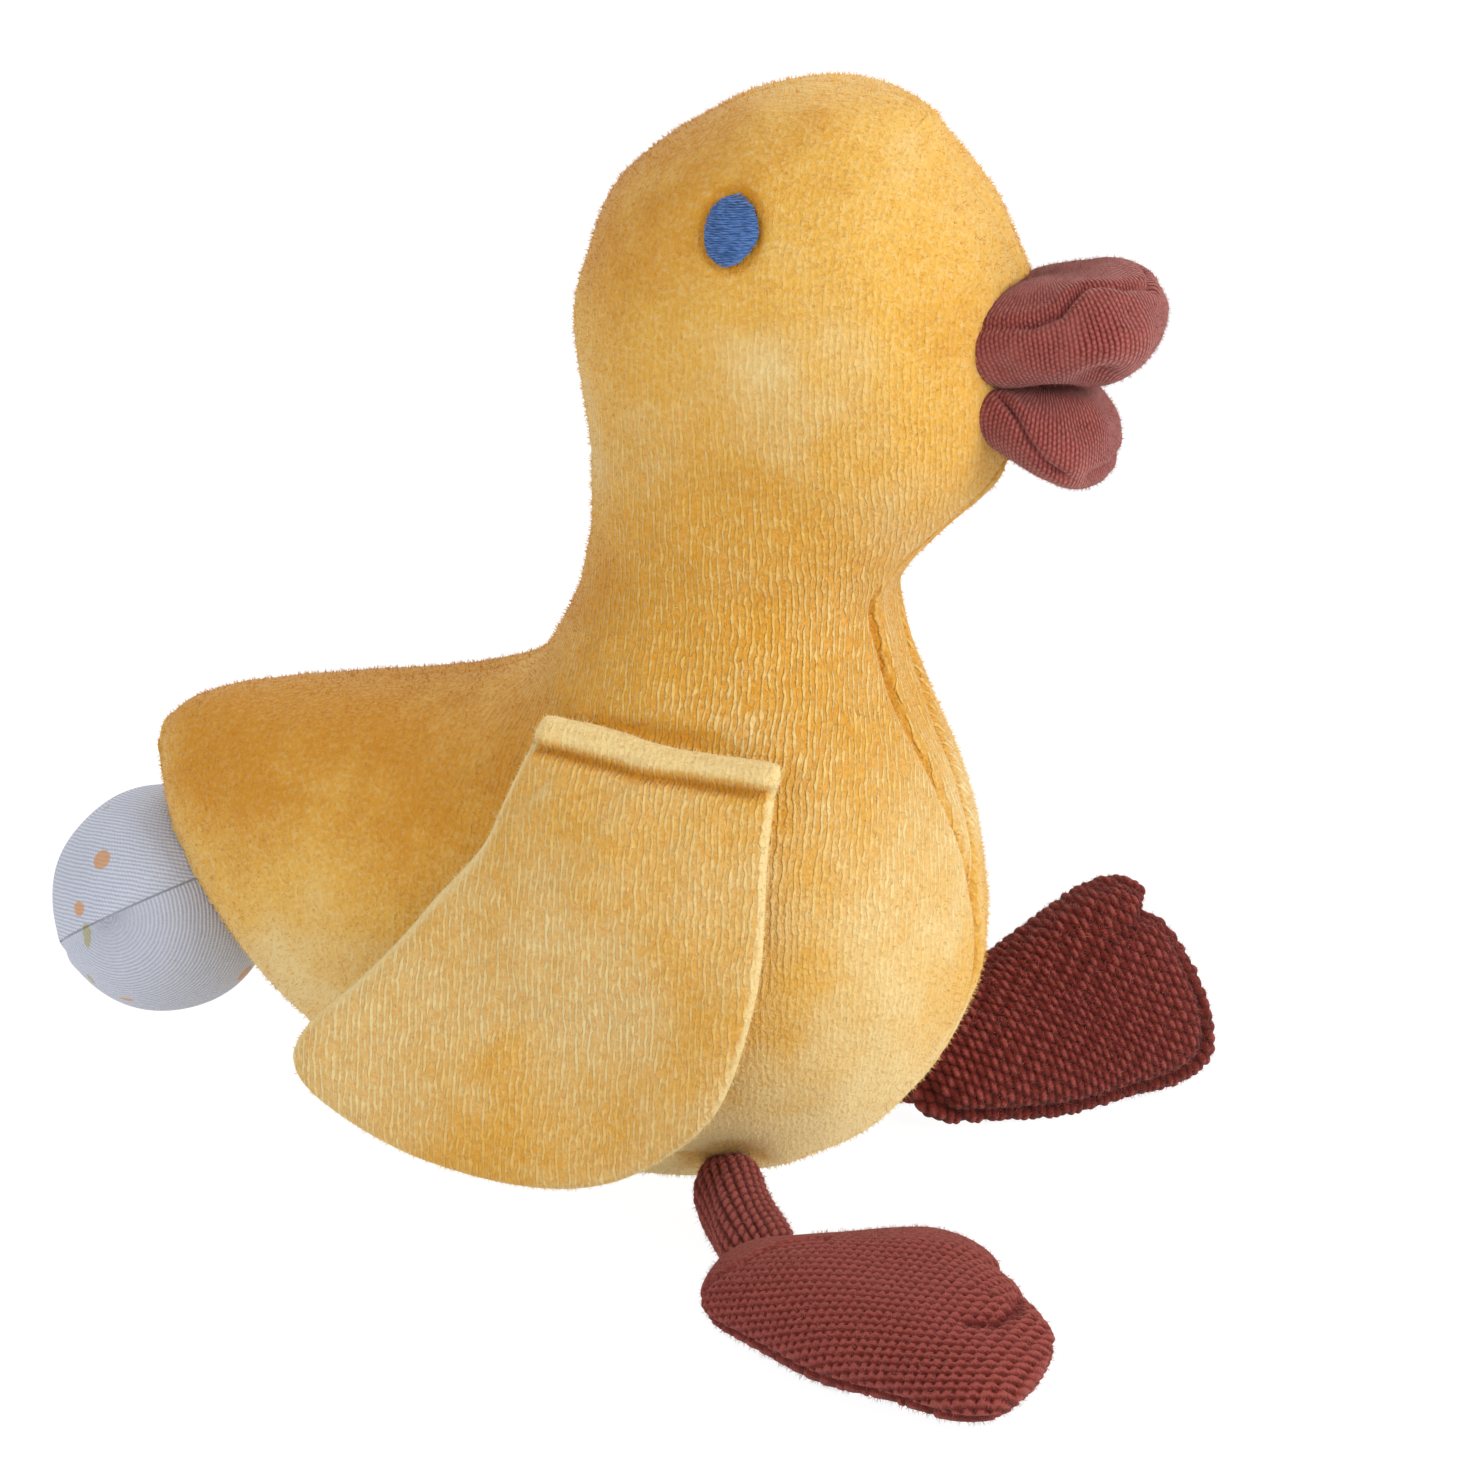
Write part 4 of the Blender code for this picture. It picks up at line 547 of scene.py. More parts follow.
def make_velour():
    finish = cloth("velour", 0.42, 0.4, (1.0, 0.92, 0.70), 0.15, 0.9)
    across, up = finish.knit_map()
    rest = finish.rest()
    sway = finish.scaled(finish.noise(rest, 0.006), 0.0016, across)
    dash = finish.noise(finish.cells(sway, RIB_PITCH, up, 0.0026), 1.0)
    rib = finish.scaled(finish.wave(sway, RIB_PITCH), -0.30, dash)
    gap = finish.times(finish.spread(rib, 0.28, 0.52, 1.0, 0.0), finish.field("ribs"))
    nap = finish.noise(rest, 0.0009, 3.0, 0.6)
    base, pale_share = velour_colour(finish)
    dark = finish.mix(finish.spread(nap, 0.35, 0.65, 1.0, 0.6), base, VELOUR_DEEP)
    share = finish.times(finish.spread(nap, 0.42, 0.70, 0.0, 0.45), pale_share)
    finish.colour(finish.mix(gap, finish.mix(share, base, VELOUR_PALE), dark))
    finish.bump(finish.scaled(gap, -1.0, finish.times(nap, 1.4)), 0.00042)
    return finish.material


def make_nap():
    finish = cloth("velour_nap", 0.45, 0.45, (1.0, 0.93, 0.72), 0.1, 0.9)
    strand = finish.noise(finish.rest(), 0.0012, 0.0)
    base, pale_share = velour_colour(finish)
    share = finish.times(finish.spread(strand, 0.50, 0.68, 0.0, 0.5), pale_share)
    light = finish.mix(share, base, VELOUR_PALE)
    finish.colour(finish.mix(finish.spread(strand, 0.50, 0.34, 0.0, 0.5), light, VELOUR_DEEP))
    finish.bump(strand, 0.0001, 0.3)
    return finish.material


def jersey(finish, sway_size, sway, wale_pitch, power, zigzag, row_pitch, row_share, fibre_size):
    """Wales of small stitches, and the fibre over them."""
    across, up = finish.knit_map()
    rest = finish.rest()
    across = finish.scaled(finish.noise(rest, sway_size), sway, across)
    up = finish.scaled(finish.wave(across, 2 * wale_pitch), zigzag, up)
    row = finish.scaled(finish.wave(up, row_pitch), row_share, 1 - row_share)
    wale = finish.math("POWER", finish.wave(across, wale_pitch), power)
    return finish.times(wale, row), finish.noise(rest, fibre_size, 2.0, 0.6)


def make_brick_jersey():
    finish = cloth("brick_jersey", 0.35, tint=(1.0, 0.72, 0.68), gloss=0.12)
    stitch, fibre = jersey(finish, 0.004, 0.0008, 0.00088, 0.7, 0.0005, 0.0009, 0.5, 0.0005)
    shade = finish.scaled(fibre, 0.5, finish.times(stitch, 0.6))
    colour = finish.mix(finish.spread(shade, 0.2, 0.55), BRICK_DARK, BRICK)
    colour = finish.mix(finish.spread(shade, 0.55, 0.85, 0.0, 0.95), colour, BRICK_PALE)
    cloud = finish.spread(finish.noise(finish.rest(), 0.008), 0.4, 0.7, 0.0, 0.3)
    finish.colour(finish.mix(cloud, colour, BRICK_PALE))
    finish.bump(finish.math("ADD", fibre, stitch), 0.00026)
    return finish.material


def make_brick_knit():
    """Coarse knit, whose loops are in the mesh: painted shade in the holes and a painted highlight on the loops.
    """
    finish = cloth("brick_knit", 0.16, tint=(1.0, 0.55, 0.50), gloss=0.12)
    across, up = finish.knit_map()
    strand = finish.noise(finish.cells(across, 0.0009, up, 0.00028), 1.0, 2.0, 0.6)
    fibre = finish.noise(finish.rest(), 0.00045, 2.0, 0.6)
    shade = finish.scaled(fibre, 0.35, finish.scaled(strand, 0.45, finish.field("loops")))
    colour = finish.mix(finish.spread(shade, 0.36, 0.98), YARN_IN_SHADE, YARN)
    finish.colour(finish.mix(finish.spread(shade, 0.92, 1.30), colour, YARN_HIGHLIGHT))
    finish.bump(finish.math("ADD", strand, fibre), 0.0003, 0.9)
    return finish.material


def make_brick_fuzz():
    finish = cloth("brick_fuzz", 0.2, tint=(1.0, 0.62, 0.58), roughness=0.95)
    strand = finish.noise(finish.rest(), 0.0012, 0.0)
    finish.colour(finish.mix(finish.spread(strand, 0.35, 0.65), YARN, BRICK_PALE))
    finish.bump(strand, 0.0001, 0.3)
    return finish.material


def make_white_jersey():
    """Fine pale jersey with a scattered print of plain dots and dashes."""
    finish = cloth("white_jersey", 0.25, gloss=0.15, roughness=0.9)
    rest = finish.rest()
    stitch, fibre = jersey(finish, 0.005, 0.0006, 0.00078, 1.0, 0.0, 0.0006, 0.55, 0.0004)
    shade = finish.scaled(fibre, 0.4, finish.times(stitch, 0.6))
    colour = finish.mix(finish.spread(shade, 0.1, 0.6), *WHITE_JERSEY)
    for ink, pitch, radius, seed, stretch in PRINTS:
        moved = finish.node("Mapping", {"Vector": rest, "Location": (seed,) * 3, "Scale": stretch}).outputs[0]
        cells = finish.node("TexVoronoi", {"Vector": moved, "Scale": 1 / pitch}, feature="F1")
        worn = finish.scaled(finish.noise(rest, 0.0007), 0.05, cells.outputs["Distance"])
        share = finish.spread(worn, radius / pitch + 0.03, radius / pitch, 0.0, 0.75)
        colour = finish.mix(share, colour, ink)
    finish.colour(colour)
    finish.bump(finish.scaled(fibre, 0.4, stitch), 0.00018, 0.8)
    return finish.material


def make_satin():
    finish = cloth("blue_satin", 0.15, 0.3, gloss=0.3, roughness=0.5)
    long_way = finish.node("Mapping", {"Vector": finish.rest(), "Scale": (0.12, 0.3, 1.0)}).outputs[0]
    strand = finish.noise(long_way, 0.00018)
    finish.colour(finish.mix(finish.spread(strand, 0.38, 0.62), *SATIN_BLUES))
    finish.bump(strand, 0.00010, 0.8)
    return finish.material


def make_cotton():
    finish = Finish("white_cotton", Roughness=0.9, Sheen_Weight=0.3)
    fibre = finish.noise(finish.rest(), 0.0005)
    finish.colour(finish.mix(fibre, *COTTON_WHITES))
    finish.bump(fibre, 0.0001, 0.6)
    return finish.material


def make_hard(name, colours, roughness, metallic, grain, stretch):
    """A moulded or metal finish: two near tones and a fine grain, drawn out along Y by a stretch."""
    finish = Finish(name, Roughness=roughness, Metallic=metallic)
    place = finish.node("TexCoord").outputs["Object"]
    place = finish.node("Mapping", {"Vector": place, "Scale": (1.0, 1 / stretch, 1.0)}).outputs[0]
    fine = finish.noise(place, grain, 3.0, 0.6)
    finish.colour(finish.mix(finish.spread(fine, 0.3, 0.7), *colours))
    finish.put("Roughness", finish.spread(fine, 0.3, 0.7, roughness - 0.08, roughness + 0.08))
    finish.bump(fine, 0.00004, 0.4)
    return finish.material


# Repeated strands, made by geometry nodes


def new_tree(name, *inputs):
    """A node tree with named inputs, their sockets, and a call that adds a node and gives its outputs."""
    tree = bpy.data.node_groups.new(name, "GeometryNodeTree")
    for label, kind, default in inputs:
        socket = tree.interface.new_socket(label, in_out="INPUT", socket_type="NodeSocket" + kind)
        if default is not None:
            socket.default_value = default
    tree.interface.new_socket("Made", in_out="OUTPUT", socket_type="NodeSocketGeometry")

    def add(kind, sockets, **settings):
        return tree_node(tree, kind, sockets, **settings).outputs

    return tree, tree.nodes.new("NodeGroupInput").outputs, add


def end_tree(tree, given, add, geometry):
    """The tree, closed with plain geometry in the given finish."""
    real = add("GeometryNodeRealizeInstances", {0: geometry})[0]
    done = add("GeometryNodeSetMaterial", {"Geometry": real, "Material": given["Finish"]})[0]
    put(tree, tree.nodes.new("NodeGroupOutput").inputs[0], done)
    return tree


def pile_tree():
    """Short three-sided strands that stand on a surface, leaning at random, denser where its nap says so."""
    tree, given, add = new_tree(
        "pile",
        ("Surface", "Geometry", None),
        ("Density", "Float", 1.0),
        ("Length", "Float", 0.001),
        ("Width", "Float", 0.0001),
        ("Lean", "Float", 0.5),
        ("Seed", "Int", 0),
        ("Finish", "Material", None),
    )
    nap = add("GeometryNodeInputNamedAttribute", {"Name": "nap"}, data_type="FLOAT")[0]
    density = add("ShaderNodeMath", {0: nap, 1: given["Density"]}, operation="MULTIPLY")[0]
    sockets = {"Mesh": given["Surface"], "Density": density, "Seed": given["Seed"]}
    roots = add("GeometryNodeDistributePointsOnFaces", sockets)
    sockets = {0: (-1.0, -1.0, -1.0), 1: (1.0, 1.0, 1.0), "Seed": given["Seed"]}
    stray = add("FunctionNodeRandomValue", sockets, data_type="FLOAT_VECTOR")[0]
    lean = add("ShaderNodeVectorMath", {0: stray, "Scale": given["Lean"]}, operation="SCALE")[0]
    way = add("ShaderNodeVectorMath", {0: roots["Normal"], 1: lean}, operation="ADD")[0]
    turn = add("FunctionNodeAlignRotationToVector", {"Vector": way}, axis="Z")[0]
    share = add("FunctionNodeRandomValue", {2: 0.5, 3: 1.3}, data_type="FLOAT")[1]
    length = add("ShaderNodeMath", {0: share, 1: given["Length"]}, operation="MULTIPLY")[0]
    size = add("ShaderNodeCombineXYZ", {0: given["Width"], 1: given["Width"], 2: length})[0]
    sockets = {"Vertices": 3, "Radius Top": 0.0, "Radius Bottom": 0.5, "Depth": 1.0}
    strand = add("GeometryNodeMeshCone", sockets, fill_type="NGON")["Mesh"]
    sockets = {"Points": roots["Points"], "Instance": strand, "Rotation": turn, "Scale": size}
    return end_tree(tree, given, add, add("GeometryNodeInstanceOnPoints", sockets)[0])


def thread_tree():
    """Round threads along the edges of a mesh."""
    tree, given, add = new_tree(
        "threads",
        ("Paths", "Geometry", None),
        ("Radius", "Float", 0.0002),
        ("Sides", "Int", 6),
        ("Finish", "Material", None),
    )
    paths = add("GeometryNodeMeshToCurve", {0: given["Paths"]})[0]
    sockets = {"Resolution": given["Sides"], "Radius": given["Radius"]}
    ring = add("GeometryNodeCurvePrimitiveCircle", sockets)[0]
    solid = add("GeometryNodeCurveToMesh", {"Curve": paths, "Profile Curve": ring, "Fill Caps": True})[0]
    return end_tree(tree, given, add, add("GeometryNodeSetShadeSmooth", {0: solid})[0])


def grown_by(tree, source, name, **values):
    """What the tree makes of an object's mesh, as a plain mesh."""
    holder = linked(name + "_source", source.data.copy())
    step = holder.modifiers.new("tree", "NODES")
    step.node_group = tree
    sockets = {item.name: item.identifier for item in tree.interface.items_tree if item.in_out == "INPUT"}
    for label, value in values.items():
        step[sockets[label]] = value
    return baked(holder, name)


VELOUR, NAP = make_velour(), make_nap()
JERSEY, KNIT, FUZZ = make_brick_jersey(), make_brick_knit(), make_brick_fuzz()
SATIN, COTTON = make_satin(), make_cotton()
PILE, THREADS = pile_tree(), thread_tree()


def threads_along(name, points, edges, finish, radius, sides):
    paths = add_mesh(name + "_paths", points, edges=edges)
    made = grown_by(THREADS, paths, name, Radius=radius, Sides=sides, Finish=finish)
    bpy.data.objects.remove(paths, do_unlink=True)
    set_field(made, "rest", points_of(made))
    return made


def dress_fuzzy(item, name, finish, slot, body, fill, **strands):
    """A stuffed piece in its finish, with fibres that stand on it."""
    fibres = grown_by(PILE, item, name + "_fuzz", **strands, Finish=FUZZ)
    dress(item, finish, slot, body)
    dress(fibres, FUZZ, slot, body)
    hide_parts(name)


# Places


def joint_at(name):
    return np.array(JOINTS[name]["pos_m"])


def near(points, x, z, width):
    """1 at a place in the side view, falling smoothly to 0 past the width."""
    return bell(np.hypot(points[..., 0] - x, points[..., 2] - z), width)


def eye_ring(points):
    """1 on the eye's outline in the side view, and less inside it."""
    x, z = head_at(EYE_SHARES)
    return np.hypot((points[..., 0] - x) / EYE_LENGTH, (points[..., 2] - z) / EYE_HEIGHT) * 2


def solid_tree(node):
    mesh = NODES[node].data
    faces = [list(face.vertices) for face in mesh.polygons]
    return BVHTree.FromPolygons([corner.co for corner in mesh.vertices], faces)


# Velour skin


def skin_stations():
    body = np.array(BODY_STATION_SHARES)
    body *= [BODY_LENGTH, BODY_HEIGHT, BODY_LENGTH, BODY_HEIGHT, BODY_HALF_WIDTH]
    waist = (body[-1, 0] + body[-1, 2]) / 2, (body[-1, 1] + body[-1, 3]) / 2
    head = np.array(HEAD_STATION_SHARES)
    head *= [HEAD_LENGTH, HEAD_HEIGHT, HEAD_LENGTH, HEAD_HEIGHT, HEAD_HALF_WIDTH]
    return np.vstack([body, head + [*waist, *waist, 0.0]]), waist


STATIONS, WAIST = skin_stations()


def head_at(shares):
    return WAIST[0] + shares[0] * HEAD_LENGTH, WAIST[1] + shares[1] * HEAD_HEIGHT


TURN_SHARES = np.arange(SKIN_POINTS) / SKIN_POINTS
IS_FRONT = ((TURN_SHARES > 0.25) & (TURN_SHARES < 0.75))[None, :]


def skin_grid():
    """Rings from tail to crown. In each, the first point is on the back and the middle one on the belly."""
    rows = catmull(STATIONS, SKIN_STEPS)
    turn = math.tau * np.arange(SKIN_POINTS) / SKIN_POINTS
    up, side = np.cos(turn), np.sin(turn)
    up = np.copysign(np.abs(up) ** (2 / SECTION_POWER), up)
    side = np.copysign(np.abs(side) ** (2 / SECTION_POWER), side)
    back_x, back_z, belly_x, belly_z, half_width = (rows[:, index, None] for index in range(5))
    x = (back_x + belly_x) / 2 + up * (back_x - belly_x) / 2
    z = (back_z + belly_z) / 2 + up * (back_z - belly_z) / 2
    grid = np.stack([x, side * half_width, z], axis=-1)
    # Points spread round each ring, closer at its seams
    ring_steps = np.linalg.norm(np.roll(grid, -1, axis=1) - grid, axis=2)
    half_widths = gusset_half_width(grid)[:, None]
    off_seam = np.where(IS_FRONT, np.abs(grid[..., 1]) - half_widths, np.abs(grid[..., 1]))
    ring_steps *= 1 + np.where(IS_FRONT, 4.0, 1.5) * bell(off_seam, 0.003)
    for index in range(len(grid)):
        gone = np.concatenate([[0], np.cumsum(ring_steps[index])])
        want = np.linspace(0, gone[-1], SKIN_POINTS, endpoint=False)
        closed = np.vstack([grid[index], grid[index][:1]])
        grid[index] = np.stack([np.interp(want, gone, closed[:, axis]) for axis in range(3)], axis=1)
    return capped(grid, 0.45)


def knit_spots(grid, normals):
    """Places on the cut cloth: along x and up z at the side line, and along the cloth from there."""
    half = SKIN_POINTS // 2
    quarter = SKIN_POINTS // 4
    points, out = (np.concatenate([part[:, half:], part[:, :1]], axis=1) for part in (grid, normals))
    flat = np.abs(out[..., 2:]) ** 3
    level = np.stack([-out[..., 1], out[..., 0], np.zeros_like(out[..., 0])], axis=-1)
    across = unit((1 - flat) * level + flat * np.array([1.0, 0.0, 0.0]))
    upward = np.cross(out, across)
    steps = np.diff(points, axis=1)
    spots = []
    for way, base in ((across, points[:, quarter, 0]), (upward, points[:, quarter, 2])):
        rise = np.sum(steps * (way[:, 1:] + way[:, :-1]) / 2, axis=2)
        total = np.concatenate([np.zeros((len(points), 1)), np.cumsum(rise, axis=1)], axis=1)
        spots.append(total - total[:, quarter : quarter + 1] + base[:, None])
    right = np.stack(spots, axis=-1)
    return np.concatenate([right[:, ::-1][:, :half], right[:, :half]], axis=1)


def gusset_half_width(grid):
    """Half the width of the strip down the throat and chest, ring by ring."""
    front = grid[:, SKIN_POINTS // 2]
    return np.interp(front[:, 2], GUSSET_HEIGHTS, GUSSET_HALF_WIDTHS) * (front[:, 0] > 0.03)


def seam_share(points, half_width):
    """1 in the strip's seams, in the centre seam below and above it, and a little in the back seam."""
    y = np.abs(points[..., 1])
    front = bell(y - half_width, SEAM_HALF_WIDTH) * np.clip((0.150 - points[..., 2]) / 0.006, 0, 1)
    front = front * np.where(points[..., 0] < -0.05, np.clip((0.064 - points[..., 2]) / 0.016, 0, 1), 1.0)
    return np.where(IS_FRONT, front, 0.12 * bell(y, SEAM_HALF_WIDTH))


def seam_ends(side):
    """The wing's sewn edge, from its rear end to its front end."""
    rear, run = joint_at("wing_flap_right"), -np.array(JOINTS["wing_flap_right"]["axis"])
    front = rear + run * (WING_SEAM_FRONT_SHARE * BODY_LENGTH - rear[0]) / run[0]
    flip = np.array([1.0, -side, 1.0])
    return rear * flip, front * flip


def dented(points):
    """The skin where the ball presses into it: pushed in along a line to the ball's far face."""
    into = unit(np.array([0.8, 0.0, 0.6]))
    radius = BALL_RADIUS + 0.0004
    offset = points - BALL_CENTRE
    along = offset @ into
    inside = radius**2 - np.sum(offset**2, axis=-1)
    far = -along + np.sqrt(np.maximum(along**2 + inside, 0))
    outside = np.maximum(np.linalg.norm(offset, axis=-1) - radius, 0)
    pressed = 0.0010 * bell(outside, 0.004)
    shift = np.where(inside > 0, far, pressed)
    return points + shift[..., None] * into


def skin_relief(grid, half_width):
    """How far the skin is drawn in at its seams, wings, eyes and legs, and how much of a groove that is, which
    also sets painted shade in it.
    """
    # The groove share darkens the tone later as painted shade: in the seams, along the wing's seam, round the eye,
    # round the legs and along the base seam.
    groove_shade = seam_share(grid, half_width) * (1 + 0.3 * lumps(grid, 0.006, 3))
    depth = SEAM_DEPTH * groove_shade
    depth -= 0.0005 * bell(np.abs(np.abs(grid[..., 1]) - half_width) - 0.0035, 0.0025) * IS_FRONT
    depth -= 0.0007 * lumps(grid, 0.028, 5) + 0.00025 * lumps(grid, 0.009, 6)
    ring = eye_ring(grid)
    for side, tag in ((-1, "right"), (1, "left")):
        rear, front = (end + np.array([0, 0, 0.0012]) for end in seam_ends(side))
        away, _ = segment_distance(grid, rear, front)
        depth += 0.0018 * bell(away, 0.0022)
        groove_shade = groove_shade + bell(away, 0.0020)
        on_side = grid[..., 1] * side > 0.01
        depth += 0.0009 * np.exp(-((ring / 1.20) ** 6)) * on_side
        groove_shade = groove_shade + 0.8 * bell(ring - 1.10, 0.16) * on_side
        hip = joint_at("hip_" + tag)
        away, _ = segment_distance(grid, hip, joint_at("ankle_" + tag))
        depth += 0.0016 * bell(np.maximum(away - 0.005, 0), 0.004)
        groove_shade = groove_shade + 0.8 * bell(np.maximum(away - 0.006, 0), 0.003)
        seam_end = hip + np.array(BASE_SEAM) * [1, side, 1]
        away, along = segment_distance(grid, hip + np.array([0, side * 0.0015, 0]), seam_end)
        depth += 0.0015 * bell(away, 0.0014) * (1 - along)
        groove_shade = groove_shade + bell(away, 0.0014) * (1 - along)
    return depth, groove_shade


def make_skin():
    grid = relaxed(skin_grid(), 6)
    nape = np.clip(1.6 * near(grid, *NAPE, 0.014), 0, 1) * ~IS_FRONT
    crown = np.clip((grid[..., 2] - 0.165) / 0.014, 0, 1)
    share = np.maximum(nape, crown)[..., None]
    grid = grid * (1 - share) + eased(grid, 0.0042) * share
    normals = grid_normals(grid)
    spots = knit_spots(grid, normals)
    half_width = gusset_half_width(grid)[:, None]
    depth, groove_shade = skin_relief(grid, half_width)
    grid = dented(grid - normals * depth[..., None])
    grid[..., 2] = np.maximum(grid[..., 2], 0.0)
    skin = tube("skin", grid)
    rest = points_of(skin)
    # The map, with the strip down the throat laid out on its own
    strip = np.stack([rest[:, 1], rest[:, 2] - 0.4 * rest[:, 0]], axis=1)
    flat_spots = np.vstack([spots.reshape(-1, 2), spots[0].mean(axis=0), spots[-1].mean(axis=0)])
    front = np.append(np.broadcast_to(IS_FRONT, grid.shape[:2]), [False, False])
    widths = np.append(np.repeat(half_width[:, 0], SKIN_POINTS), [0.0, 0.0])
    in_strip = front & (np.abs(rest[:, 1]) < widths)
    corner = np.array([polygon.vertices[0] for polygon in skin.data.polygons])
    set_map(skin, flat_spots, strip, in_strip[corner])
    set_field(skin, "rest", rest)
    groove_shades = np.append(groove_shade.ravel(), [0.0, 0.0])
    # The tone: the skin's own, with painted bounce light near the floor and painted shade in the grooves
    set_field(skin, "tone", skin_tone_and_bounce(rest) - 1.1 * np.clip(groove_shades, 0, 1.2))
    set_field(skin, "ribs", np.clip(0.04 + 0.90 * near(rest, *RIBS_AT), 0, 1))
    whole_nap = skin_nap(rest) * (1 - 0.7 * np.clip(groove_shades, 0, 1))
    in_head = rest[:, 2] >= NAP_SPLIT_HEIGHT
    naps = []
    for label, chosen in (("skin_nap_body", ~in_head), ("skin_nap_head", in_head)):
        set_field(skin, "nap", whole_nap * chosen)
        naps.append(grown_by(PILE, skin, label, **SKIN_STRANDS, Finish=NAP))
    neck = joint_at("head_nod")
    for item in (skin, *naps):
        dress(item, VELOUR if item is skin else NAP, "yellow_velour")
        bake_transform(item)
    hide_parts("body", "head")


# Clear ribs on the neck, chest and throat: x, z and how wide
RIBS_AT = (0.030, 0.110, 0.055)
# Where the velour is paler, or deeper below 0: x, z, how much and how wide
TONES = (
    (0.060, 0.075, 0.45, 0.045),
    (0.050, 0.130, 0.20, 0.026),
    (-0.015, 0.145, 0.45, 0.018),
    (0.034, 0.165, 0.30, 0.016),
    (0.040, 0.080, 0.25, 0.020),
    (-0.060, 0.050, 0.45, 0.018),
    (-0.012, 0.195, -0.85, 0.030),
    (-0.080, 0.066, -0.30, 0.020),
    (-0.008, 0.118, -0.45, 0.016),
)


def skin_tone_and_bounce(rest):
    """Deeper orange on the nape, back and tail, and paler on the chest, belly and chin, and near the floor, where
    the paleness is painted bounce light.
    """
    # Painted bounce light: paler near the floor
    tone = 0.85 * bell(rest[:, 2], 0.032)
    tone -= 0.95 * bell(np.hypot((rest[:, 0] + 0.060) / 3, rest[:, 2] - 0.085), 0.022)
    for x, z, change, width in TONES:
        tone += change * near(rest, x, z, width)
    return tone


def skin_nap(rest):
    """Where strands stand: none under the belly, in the ball's dent or under the eyes."""
    in_dent = np.linalg.norm(rest - BALL_CENTRE, axis=1) <= BALL_RADIUS + 0.0012
    return (rest[:, 2] >= 0.0015) * ~in_dent * (eye_ring(rest) > 1.02) * 1.0


# Wings


def make_wing(name, side, tree):
    rear, front = seam_ends(-1)
    run = front - rear
    middle = (rear + front) / 2

    def out_at(x, z):
        share = (x - rear[0]) / run[0]
        drop = max(rear[2] + run[2] * share - z, 0.0)
        plain = -(rear[1] + run[1] * min(max(share, 0.0), 1.0)) + WING_FLARE_SHARE * drop
        hit = tree.ray_cast(Vector((x, -1.0, z)), Vector((0, 1, 0)))[0]
        swell = min(WING_SEAM_SHARE + drop / WING_SEAM_TAPER, 1.0)
        moulded = (-hit.y if hit else 0.0) + swell * WING_THICKNESS / 2 + 0.3 * MM
        return (plain + moulded + math.hypot(plain - moulded, WING_BLEND)) / 2

    scale = np.array([WING_LENGTH, WING_DROP])
    outline = catmull(WING_OUTLINE_SHARES, 8)
    top = np.linspace(outline[-1], outline[0], 24)[1:-1]
    outline = np.vstack([outline, top]) * scale + middle[[0, 2]]
    centre = middle[[0, 2]] + np.array(WING_CENTRE_SHARES) * scale

    def place(spots):
        return [(x, side * (out_at(x, z) + lift), z) for x, z, lift in spots]

    form = puffed(name + "_form", outline, centre, WING_THICKNESS / 2, WING_POWER, place, 34, 0.8)
    wing = evened(form, name + "_velour", WING_VOXEL, 6)
    points, normals = points_of(wing), normals_of(wing)
    drop = rear[2] + run[2] * (points[:, 0] - rear[0]) / run[0] - points[:, 2]
    outward = normals[:, 1] * side
    stitched = bell(drop - TOPSTITCH_DROP - 0.0002 * lumps(points, 0.006, 12), 0.0010) * (outward > 0)
    depth = 0.0018 * stitched - 0.0005 * lumps(points, 0.016, 11)
    depth -= (0.0004 + 0.0003 * lumps(points, 0.005, 14)) * bell(drop - TOPSTITCH_DROP / 2, 0.0022)
    points = points - normals * depth[:, None]
    set_points(wing, points)
    set_map(wing, points[:, [0, 2]])
    set_field(wing, "rest", points)
    # Painted light in the tone: the rim, where the wing turns from the side, is painted paler as painted sheen,
    # the ridge gets a painted highlight, and the topstitch groove gets painted shade.
    edge = 1 - np.clip((np.abs(normals[:, 1]) - 0.55) / 0.3, 0, 1)
    ridge = bell(drop - TOPSTITCH_DROP / 2 + 0.0004, 0.0017) * (outward > -0.3)
    tone = 0.9 * edge + (0.45 + 0.2 * lumps(points, 0.004, 13)) * ridge
    tone += 0.2 * bell(points[:, 2] - 0.055, 0.02)
    set_field(wing, "tone", tone - 1.5 * stitched + 0.36)
    set_field(wing, "ribs", 0.6 * (1 - edge) * (1 - 0.8 * ridge) + 0.5 * stitched)
    set_field(wing, "nap", (0.7 + 0.3 * edge) * (1 - 0.7 * stitched))
    pile = grown_by(PILE, wing, name + "_nap", **WING_STRANDS, Finish=NAP)
    hinge = middle * np.array([1.0, -side, 1.0])
    start, end = hinge + np.array([0, 0, 0.0005]), hinge - np.array([0, 0, 0.0075])
    for item, finish in ((wing, VELOUR), (pile, NAP)):
        dress(item, finish, "yellow_velour")
        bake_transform(item)
        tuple(start)
        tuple(end)
    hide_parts(name)


# Beak


def route_distance(points, route, side):
    """How far each point is from a route in mm, on one side."""
    route = np.array(route) * MM * np.array([1, side, 1])
    return np.min([segment_distance(points, *ends)[0] for ends in zip(route, route[1:])], axis=0)


